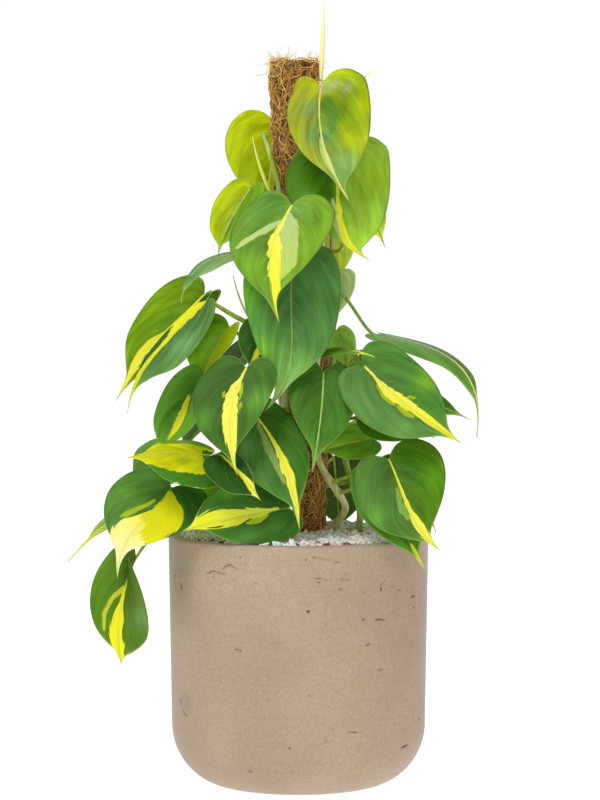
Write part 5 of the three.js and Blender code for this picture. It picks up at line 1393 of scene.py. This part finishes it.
def leaf_cuticle(name, settings, under):
    """Philodendron leaf: a waxy, softly quilted cuticle with a low gloss.

    The eye gets a green that is lighter and darker in long streaks, faint sunk side veins and torn
    lime and yellow streaks. The underside is paler and duller, because its cell layer holds air.
    """
    material, tree, output = new_material(name)
    blade, marks, ground, lime, yellow = (add(tree, "ShaderNodeAttribute", attribute_name=kind)
        for kind in ("blade", "marks", "ground", "lime", "yellow"))
    place = add(tree, "ShaderNodeSeparateXYZ", {"Vector": blade.outputs["Vector"]})
    field = add(tree, "ShaderNodeSeparateXYZ", {"Vector": marks.outputs["Vector"]})
    across = add(tree, "ShaderNodeMath", {0: place.outputs["X"]}, operation="ABSOLUTE")
    rim = place.outputs["Z"]

    # Patterns run along the side veins: long in their direction, short across it
    stretch = add(tree, "ShaderNodeVectorMath", {0: blade.outputs["Vector"], 1: (0.04, 0.12, 0.0)},
        operation="MULTIPLY")
    cloud, broad, fine, tear = (add(tree, "ShaderNodeTexNoise", {"Vector": source, "Scale": scale,
        "Detail": 2.0, "Roughness": roughness}).outputs["Fac"] for source, scale, roughness in (
        (blade.outputs["Vector"], 0.07, 0.5), (stretch.outputs[0], 1.0, 0.5),
        (stretch.outputs[0], 5.0, 0.5), (stretch.outputs[0], 1.2, 0.6)))

    # Lighter and darker streaks and broad clouds in the green
    streak_gain, cloud_gain, fine_gain = (add(tree, "ShaderNodeMapRange", {"Value": pattern,
        "From Min": 0.3, "From Max": 0.7, "To Min": 1 - swing, "To Max": 1 + swing}).outputs[0]
        for pattern, swing in ((broad, 0.16), (cloud, 0.2), (fine, 0.04)))
    gain = add(tree, "ShaderNodeMath", {0: streak_gain, 1: cloud_gain}, operation="MULTIPLY")
    green = add(tree, "ShaderNodeVectorMath", {0: ground.outputs["Color"], "Scale": gain.outputs[0]},
        operation="SCALE")

    # Ragged edges: the streak fields are shifted by the tear noise before they are cut sharp
    tearing = add(tree, "ShaderNodeMapRange", {"Value": tear, "From Min": 0.3, "From Max": 0.7,
        "To Min": -1.7, "To Max": 1.7}, clamp=False)
    shift = add(tree, "ShaderNodeMath", {0: tearing.outputs[0], 1: field.outputs["Z"]},
        operation="MULTIPLY")
    lime_depth, yellow_depth = (add(tree, "ShaderNodeMath", {0: field.outputs[axis],
        1: shift.outputs[0]}, operation="ADD").outputs[0] for axis in "YX")
    warm = lay_over(tree, yellow.outputs["Color"], ((broad, 0.5, 0.75, 0.3, linear("#C2CC30")),))
    streaked = lay_over(tree, green.outputs[0], (
        (lime_depth, -0.35, 0.35, 1.0, lime.outputs["Color"]), (yellow_depth, -0.28, 0.28, 1.0, warm)))
    grained = add(tree, "ShaderNodeVectorMath", {0: streaked, "Scale": fine_gain}, operation="SCALE")

    # Side veins: the distance in mm to the next one gives a thin pale line and a soft valley
    wander = add(tree, "ShaderNodeMath", {0: cloud, 1: 9.0, 2: place.outputs["Y"]},
        operation="MULTIPLY_ADD")
    nearest = add(tree, "ShaderNodeMath", {0: wander.outputs[0], 1: settings.vein_spacing * 500},
        operation="PINGPONG").outputs[0]
    fade = add(tree, "ShaderNodeMapRange", {"Value": rim, "From Min": 1.0, "From Max": 9.0}).outputs[0]
    line = add(tree, "ShaderNodeMapRange", {"Value": nearest, "From Min": 1.0, "From Max": 0.1})
    faded = add(tree, "ShaderNodeMath", {0: line.outputs[0], 1: fade}, operation="MULTIPLY")

    # The veins, the midrib and the thin pale margin
    colour = lay_over(tree, grained.outputs[0], ((faded.outputs[0], 0.0, 1.0, 0.055, linear("#A9CF6A")),
        (across.outputs[0], 0.75, 0.2, 0.38, linear("#B4CC62")), (rim, 0.8, 0.2, 0.42, linear("#C6D878"))))
    if under:
        colour = add(tree, "ShaderNodeMix", {"Factor": 0.16, "A": colour, "B": linear("#8FAA58")},
            data_type="RGBA").outputs["Result"]

    # Relief in metres: sunk side veins, the midrib groove and the streaks of the cuticle
    groove, valley = (add(tree, "ShaderNodeMapRange", {"Value": distance, "From Min": 0.0,
        "From Max": width, "To Min": depth, "To Max": 0.0}, interpolation_type="SMOOTHSTEP").outputs[0]
        for distance, width, depth in ((across.outputs[0], 1.6, -0.4), (nearest, 2.2, -0.16)))
    sunk = add(tree, "ShaderNodeMath", {0: valley, 1: fade, 2: groove}, operation="MULTIPLY_ADD")
    height = add(tree, "ShaderNodeMath", {0: fine, 1: 0.1, 2: sunk.outputs[0]}, operation="MULTIPLY_ADD")
    bump = add(tree, "ShaderNodeBump", {"Height": height.outputs[0], "Distance": 0.001, "Strength": 0.6})
    gloss = add(tree, "ShaderNodeMapRange", {"Value": cloud, "From Min": 0.3, "From Max": 0.7,
        "To Min": 0.62 if under else 0.38, "To Max": 0.72 if under else 0.5})
    shader = add(tree, "ShaderNodeBsdfPrincipled", {"Base Color": colour, "Roughness": gloss.outputs[0],
        "IOR": 1.45, "Specular IOR Level": 0.16, "Specular Tint": linear("#FFFFC0"),
        "Normal": bump.outputs[0]})
    tree.links.new(shader.outputs[0], output.inputs["Surface"])
    return material


def stem_skin(name, green, pale, scar):
    """Green stem: smooth young bark, in parts bleached to cream, with brown scars."""
    material, tree, output = new_material(name)
    where = add(tree, "ShaderNodeTexCoord").outputs["Object"]
    stretch = add(tree, "ShaderNodeMapping", {"Vector": where, "Scale": (900, 900, 90)})
    streak, bleach, patch = (add(tree, "ShaderNodeTexNoise", {"Vector": source, "Scale": scale,
        "Detail": detail}).outputs["Fac"] for source, scale, detail in (
        (stretch.outputs[0], 0.5, 3.0), (where, 26.0, 1.0), (where, 90.0, 4.0)))
    both = add(tree, "ShaderNodeMath", {0: streak, 1: bleach}, operation="ADD")
    colour = lay_over(tree, linear(green), ((both.outputs[0], 0.85, 1.15, 1.0, linear(pale)),
        (patch, 0.64, 0.74, 0.5, linear(scar))))
    bump = add(tree, "ShaderNodeBump", {"Height": streak, "Distance": 0.0003})
    shader = add(tree, "ShaderNodeBsdfPrincipled", {"Base Color": colour, "Roughness": 0.48,
        "IOR": 1.45, "Specular IOR Level": 0.3, "Normal": bump.outputs[0]})
    tree.links.new(shader.outputs[0], output.inputs["Surface"])
    return material


def studio_paper(name, code, glow):
    """Matt white studio paper that is lit a little brighter than the plant."""
    material, tree, output = new_material(name)
    shader = add(tree, "ShaderNodeBsdfPrincipled", {"Base Color": linear(code), "Roughness": 0.95,
        "Emission Color": (1, 1, 1, 1), "Emission Strength": glow})
    tree.links.new(shader.outputs[0], output.inputs["Surface"])
    return material


def light_tent(scene):
    """A white tent round the studio: bright at eye level, softer overhead."""
    world = bpy.data.worlds.new("light_tent")
    scene.world = world
    world.use_nodes = True
    tree = world.node_tree
    tree.nodes.clear()
    output = add(tree, "ShaderNodeOutputWorld")
    place = add(tree, "ShaderNodeTexCoord")
    height = add(tree, "ShaderNodeSeparateXYZ", {"Vector": place.outputs["Generated"]})
    glow = add(tree, "ShaderNodeMapRange", {"Value": height.outputs["Z"], "From Min": 0.08,
        "From Max": 0.25, "To Min": 1.02, "To Max": 0.34}, interpolation_type="SMOOTHSTEP")
    tent = add(tree, "ShaderNodeBackground", {"Color": (1, 1, 1, 1), "Strength": glow.outputs[0]})
    tree.links.new(tent.outputs[0], output.inputs["Surface"])


def fibre_clay(name, settings):
    """Cast fibre clay: clay and glass fibre pressed in a mould and rubbed with sand.

    The eye gets a dry, dusty sand colour with pale grit and broad clouds, brown stains round the pits and
    cracks where air and fibres broke the skin, and painted shade that darkens the inside of each pit and
    crack.
    """
    material, tree, output = new_material(name)
    where = add(tree, "ShaderNodeTexCoord").outputs["Object"]
    level = add(tree, "ShaderNodeMapping", {"Vector": where, "Scale": (14, 14, 420)})
    cloud, grain, speck, ragged, band = (add(tree, "ShaderNodeTexNoise", {"Vector": source,
        "Scale": scale, "Detail": detail, "Roughness": roughness}).outputs["Fac"]
        for source, scale, detail, roughness in ((where, 11.0, 4.0, 0.5), (where, 520.0, 3.0, 0.7),
        (where, 900.0, 1.0, 0.5), (where, 700.0, 2.0, 0.5), (level.outputs[0], 1.0, 3.0, 0.5)))
    near = add(tree, "ShaderNodeVectorMath", {0: where, 1: SMUDGE}, operation="DISTANCE")
    chip = add(tree, "ShaderNodeAttribute", attribute_name="chip")
    swing = add(tree, "ShaderNodeMapRange", {"Value": ragged, "From Min": 0.3, "From Max": 0.7,
        "To Min": -0.5, "To Max": 0.45}, clamp=False)
    depth = add(tree, "ShaderNodeMath", {0: chip.outputs["Fac"], 1: swing.outputs[0]},
        operation="ADD").outputs[0]
    skin = lay_over(tree, linear(CLAY_SHADE), ((cloud, 0.35, 0.65, 1.0, (*settings.clay_colour, 1)),
        (grain, 0.35, 0.7, 0.5, linear(CLAY_DARK)), (speck, 0.66, 0.76, 0.5, linear("#DCCDB8")),
        (band, 0.5, 0.7, 0.12, linear(CLAY_DARK)),
        (near.outputs["Value"], 0.012, 0.004, 0.4, linear("#7E7468"))))
    # Brown stain round each pit and crack, and painted shade inside it: the hollows are painted dark brown
    colour = lay_over(tree, skin, ((depth, -0.9, 0.2, 0.42, linear("#8F7459")),
        (depth, 0.2, 0.75, 0.9, linear("#3E2E20"))), ease="SMOOTHSTEP")
    sunk = add(tree, "ShaderNodeMapRange", {"Value": depth, "From Min": 0.2, "From Max": 0.75,
        "To Max": -1.08}, interpolation_type="SMOOTHSTEP")
    height = add(tree, "ShaderNodeMath", {0: grain, 1: 0.35, 2: sunk.outputs[0]}, operation="MULTIPLY_ADD")
    bump = add(tree, "ShaderNodeBump", {"Height": height.outputs[0], "Distance": 0.0006, "Strength": 0.8})
    shader = add(tree, "ShaderNodeBsdfPrincipled", {"Base Color": colour, "Roughness": 0.9, "IOR": 1.5,
        "Sheen Weight": 0.3, "Sheen Roughness": 0.4, "Normal": bump.outputs[0]})
    tree.links.new(shader.outputs[0], output.inputs["Surface"])
    return material


def coconut_felt(name):
    """Coconut coir pressed to a mat under the loose fibres: painted shade, a very dark brown for the shadow
    between the fibres, with tan strands.
    """
    material, tree, output = new_material(name)
    where = add(tree, "ShaderNodeTexCoord").outputs["Object"]
    strands = []
    for turn in ((0.5, 0.3, 0), (-0.6, -0.4, 0)):
        slant = add(tree, "ShaderNodeMapping", {"Vector": where, "Scale": (1, 1, 0.5), "Rotation": turn})
        strands.append(add(tree, "ShaderNodeTexNoise", {"Vector": slant.outputs[0], "Scale": 520.0,
            "Detail": 3.0}).outputs["Fac"])
    both = add(tree, "ShaderNodeMath", {0: strands[0], 1: strands[1]}, operation="MAXIMUM").outputs[0]
    colour = lay_over(tree, linear(COIR_SHADE), ((both, 0.45, 0.72, 1.0, linear(COIR_DARK)),))
    bump = add(tree, "ShaderNodeBump", {"Height": both, "Distance": 0.0015})
    shader = add(tree, "ShaderNodeBsdfPrincipled", {"Base Color": colour, "Roughness": 0.95,
        "Normal": bump.outputs[0]})
    tree.links.new(shader.outputs[0], output.inputs["Surface"])
    return material


def coconut_fibre(name, settings, pale):
    """Single coconut fibres: stiff, matt strands from dark brown to straw, each with its own tone."""
    material, tree, output = new_material(name)
    strand = (*settings.fibre_colour, 1)
    tone = add(tree, "ShaderNodeAttribute", attribute_name="tone").outputs["Fac"]
    place = add(tree, "ShaderNodeTexCoord")
    patch = add(tree, "ShaderNodeTexNoise", {"Vector": place.outputs["Object"], "Scale": 160.0})
    colour = lay_over(tree, strand if pale else linear(COIR_DARK), (
        (tone, 0.0, 0.75, 1.0, linear(COIR_PALE) if pale else strand),
        (tone, 0.86, 1.0, 1.0, linear(COIR_PALE)),
        (patch.outputs["Fac"], 0.4, 0.7, 0.35, linear(COIR_SHADE))))
    shader = add(tree, "ShaderNodeBsdfPrincipled", {"Base Color": colour, "Roughness": 0.75})
    tree.links.new(shader.outputs[0], output.inputs["Surface"])
    return material


def broken_stone(name, codes, roughness):
    """Washed mineral grit: each stone has its own shade between two colours, and fine crystal grain.

    Painted shade darkens each stone towards its corners, where the joints between stones lie in shadow, so
    the eye can tell one stone from the next.
    """
    material, tree, output = new_material(name)
    place = add(tree, "ShaderNodeTexCoord")
    tone = add(tree, "ShaderNodeAttribute", attribute_name="tone")
    lit_share = add(tree, "ShaderNodeAttribute", attribute_name="lit_share")
    grain = add(tree, "ShaderNodeTexNoise", {"Vector": place.outputs["Object"], "Scale": 900.0,
        "Detail": 2.0}).outputs["Fac"]
    colour = lay_over(tree, linear(codes[0]), ((tone.outputs["Fac"], 0.0, 1.0, 1.0, linear(codes[1])),
        (grain, 0.5, 0.7, 0.35, linear(codes[2]))))
    # Painted shade: the colour falls to 0.28 of itself at each stone's corners, for the shadow in the
    # joints
    painted_corner_shade = add(tree, "ShaderNodeMapRange", {"Value": lit_share.outputs["Fac"], "From Min": 0.05,
        "From Max": 0.3, "To Min": 0.28, "To Max": 1.0})
    shaded = add(tree, "ShaderNodeVectorMath", {0: colour, "Scale": painted_corner_shade.outputs[0]}, operation="SCALE")
    bump = add(tree, "ShaderNodeBump", {"Height": grain, "Distance": 0.0003})
    shader = add(tree, "ShaderNodeBsdfPrincipled", {"Base Color": shaded.outputs[0],
        "Roughness": roughness, "IOR": 1.5, "Normal": bump.outputs[0]})
    tree.links.new(shader.outputs[0], output.inputs["Surface"])
    return material


def sawn_pine(name):
    """Sawn softwood stake: long straight grain of early and late wood."""
    material, tree, output = new_material(name)
    place = add(tree, "ShaderNodeTexCoord")
    stretch = add(tree, "ShaderNodeMapping", {"Vector": place.outputs["Object"], "Scale": (400, 400, 12)})
    grain = add(tree, "ShaderNodeTexNoise", {"Vector": stretch.outputs[0], "Scale": 1.0,
        "Detail": 4.0}).outputs["Fac"]
    colour = lay_over(tree, linear("#7A5A38"), ((grain, 0.35, 0.65, 1.0, linear("#B08C5E")),))
    bump = add(tree, "ShaderNodeBump", {"Height": grain, "Distance": 0.0004})
    shader = add(tree, "ShaderNodeBsdfPrincipled", {"Base Color": colour, "Roughness": 0.8,
        "Normal": bump.outputs[0]})
    tree.links.new(shader.outputs[0], output.inputs["Surface"])
    return material


def young_leaf_skin(name, settings):
    """Unopened leaf: smooth, waxy and nearly without green, with lime stripes along the roll."""
    material, tree, output = new_material(name)
    place = add(tree, "ShaderNodeTexCoord")
    stretch = add(tree, "ShaderNodeMapping", {"Vector": place.outputs["Object"], "Scale": (900, 900, 14)})
    stripe = add(tree, "ShaderNodeTexNoise", {"Vector": stretch.outputs[0], "Scale": 0.4, "Detail": 2.0})
    roll = add(tree, "ShaderNodeAttribute", attribute_name="roll")
    colour = lay_over(tree, (*settings.bud_colour, 1), (
        (stripe.outputs["Fac"], 0.42, 0.6, 0.7, linear("#F2E4A0")),
        (roll.outputs["Fac"], 0.6, 0.95, 0.6, linear("#E6DE84"))))
    shader = add(tree, "ShaderNodeBsdfPrincipled", {"Base Color": colour, "Roughness": 0.42, "IOR": 1.45})
    tree.links.new(shader.outputs[0], output.inputs["Surface"])
    return material


# Settings that a user would change

class PlantSettings(bpy.types.PropertyGroup):
    """Sizes, counts and colours of the plant's pieces."""

    leaf_columns: IntProperty(name="Leaf columns", description="Faces across a blade", default=36, min=12)
    leaf_rows: IntProperty(name="Leaf rows", description="Faces along a blade", default=48, min=12)
    leaf_thickness: FloatProperty(name="Leaf thickness", description="Thickness of a blade at its middle",
        default=0.0006, unit="LENGTH")
    margin_wave: FloatProperty(name="Margin wave", description="How far the leaf margins ripple",
        default=0.0009, unit="LENGTH")
    pillow: FloatProperty(name="Pillow", description="How far each half of a blade bulges",
        default=0.0009, unit="LENGTH")
    vein_spacing: FloatProperty(name="Vein spacing", description="Distance between the side veins",
        default=0.0115, unit="LENGTH")
    petiole_radius: FloatProperty(name="Petiole radius", description="Radius of a leaf stalk",
        default=0.00125, unit="LENGTH")
    fibre_count: IntProperty(name="Coir fibres", description="Loose fibres on the pole", default=2900,
        min=10)
    fibre_radius: FloatProperty(name="Fibre radius", description="Radius of a coir fibre",
        default=0.00026, unit="LENGTH")
    granule_pitch: FloatProperty(name="Granule pitch", description="Distance between the granules",
        default=0.005, unit="LENGTH")
    clay_colour: FloatVectorProperty(name="Clay colour", description="Lighter colour of the pot",
        default=linear(CLAY)[:3], subtype="COLOR", min=0, max=1)
    fibre_colour: FloatVectorProperty(name="Fibre colour", description="Colour of a sunlit coir fibre",
        default=linear(COIR)[:3], subtype="COLOR", min=0, max=1)
    bud_colour: FloatVectorProperty(name="Bud colour", description="Colour of the unopened leaf",
        default=linear("#FAEEC4")[:3], subtype="COLOR", min=0, max=1)


# Operators

class PLANT_OT_leaves(bpy.types.Operator):
    """Builds the variegated leaves with their stalks"""

    bl_idname = "plant.leaves"
    bl_label = "Leaves"

    def execute(self, context):
        settings = context.scene.plant_settings
        materials = (leaf_cuticle("leaf_upper_cuticle", settings, False),
            leaf_cuticle("leaf_lower_cuticle", settings, True),
            stem_skin("petiole_skin", "#6A9A24", "#BCC84A", "#7A8A30"))
        for name in LEAVES:
            build_leaf(name, settings, materials)
        return {"FINISHED"}


class PLANT_OT_stems(bpy.types.Operator):
    """Builds the climbing stems, their aerial roots and sheaths, and the rolled new leaf"""

    bl_idname = "plant.stems"
    bl_label = "Stems and new leaf"

    def execute(self, context):
        settings = context.scene.plant_settings
        materials = (stem_skin("stem_skin", "#88A82A", "#C8C884", "#8E7040"),
            stem_skin("aerial_root_bark", "#9A7440", "#B48A52", "#6E4E2C"),
            stem_skin("sheath_skin", "#D8EC60", "#F0F4A8", "#B4AC5C"))
        bleached = stem_skin("bleached_stem_skin", "#B4BC60", "#E8E0A8", "#A08050")
        for name in VINE_NAMES:
            skin = bleached if name == "vine_front_right" else materials[0]
            build_vine(name, (skin, *materials[1:]))
        build_new_leaf(young_leaf_skin("young_leaf_skin", settings))
        return {"FINISHED"}


class PLANT_OT_coir_pole(bpy.types.Operator):
    """Builds the coir mat of the pole with its loose fibres, and finishes the stake"""

    bl_idname = "plant.coir_pole"
    bl_label = "Coir pole"

    def execute(self, context):
        settings = context.scene.plant_settings
        build_coir_mat(coconut_felt("coconut_felt"))
        chance = random.Random("fibres")
        paths = [fibre_path(chance) for _ in range(settings.fibre_count)]
        radius = settings.fibre_radius * 1000
        build_fibres("coir_fibres", paths, radius, coconut_fibre("coconut_fibre", settings, False))
        wisps = wisps_at_top(chance)
        straw = coconut_fibre("coconut_fibre_straw", settings, True)
        build_fibres("coir_wisps", wisps, radius * WISP_SHARE, straw)
        refinish("pole_core", sawn_pine("sawn_pine"))
        return {"FINISHED"}


class PLANT_OT_substrate(bpy.types.Operator):
    """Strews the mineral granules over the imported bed"""

    bl_idname = "plant.substrate"
    bl_label = "Mineral substrate"

    def execute(self, context):
        settings = context.scene.plant_settings
        finishes = {name: broken_stone("crushed_" + name, codes, roughness)
            for name, (_, _, roughness, codes) in GRANULES.items()}
        build_granules(settings, finishes)
        refinish("substrate", broken_stone("mineral_dust", ("#8A7A6C", "#8A7A6C", "#A09284"), 0.95))
        return {"FINISHED"}


class PLANT_OT_pot(bpy.types.Operator):
    """Turns the fibre-clay pot with its pits and cracks"""

    bl_idname = "plant.pot"
    bl_label = "Pot"

    def execute(self, context):
        build_pot(fibre_clay("fibre_clay", context.scene.plant_settings))
        return {"FINISHED"}


class PLANT_OT_stage(bpy.types.Operator):
    """Sets up the white floor, the soft lights and the camera"""

    bl_idname = "plant.stage"
    bl_label = "Stage"

    def execute(self, context):
        scene = context.scene
        bm = bmesh.new()
        bmesh.ops.create_grid(bm, x_segments=1, y_segments=1, size=FLOOR_HALF)
        mesh = bpy.data.meshes.new("floor")
        bm.to_mesh(mesh)
        bm.free()
        mesh.materials.append(studio_paper("white_studio_paper", "#A8A8A8", 0.9))
        floor = bpy.data.objects.new("floor", mesh)
        scene.collection.objects.link(floor)
        light_tent(scene)
        for name, place, size, power in LAMPS:
            lamp = bpy.data.lights.new(name, "AREA")
            lamp.size = size
            lamp.energy = power
            holder = bpy.data.objects.new(name, lamp)
            scene.collection.objects.link(holder)
            holder.location = place
            aim = Vector(LAMP_AIM) - Vector(place)
            holder.rotation_euler = aim.to_track_quat("-Z", "Y").to_euler()
        eye = bpy.data.cameras.new("camera")
        eye.lens = CAMERA_LENS
        eye.sensor_width = 36.0
        eye.clip_end = 50.0
        holder = bpy.data.objects.new("camera", eye)
        scene.collection.objects.link(holder)
        holder.location = Vector(CAMERA_PLACE) * MM
        holder.rotation_euler = (math.radians(90 - CAMERA_PITCH_DOWN), 0, 0)
        scene.camera = holder
        scene.view_settings.view_transform = "Standard"
        scene.view_settings.look = "None"
        return {"FINISHED"}


CLASSES = (PlantSettings, PLANT_OT_leaves, PLANT_OT_stems, PLANT_OT_coir_pole, PLANT_OT_substrate,
    PLANT_OT_pot, PLANT_OT_stage)


class PLANT_PT_panel(bpy.types.Panel):
    """Lists the steps that build the plant"""

    bl_idname = "PLANT_PT_panel"
    bl_label = "Climbing plant"
    bl_space_type = "VIEW_3D"
    bl_region_type = "UI"
    bl_category = "Plant"

    def draw(self, context):
        settings = context.scene.plant_settings
        for name in settings.bl_rna.properties.keys():
            if name not in ("name", "rna_type"):
                self.layout.prop(settings, name)
        for step in CLASSES[1:]:
            self.layout.operator(step.bl_idname)


def register():
    for entry in CLASSES + (PLANT_PT_panel,):
        bpy.utils.register_class(entry)
    bpy.types.Scene.plant_settings = PointerProperty(type=PlantSettings)


def unregister():
    del bpy.types.Scene.plant_settings
    for entry in reversed(CLASSES + (PLANT_PT_panel,)):
        bpy.utils.unregister_class(entry)


def main():
    register()
    for step in CLASSES[1:]:
        group, name = step.bl_idname.split(".")
        getattr(getattr(bpy.ops, group), name)()


if __name__ == "__main__":
    main()
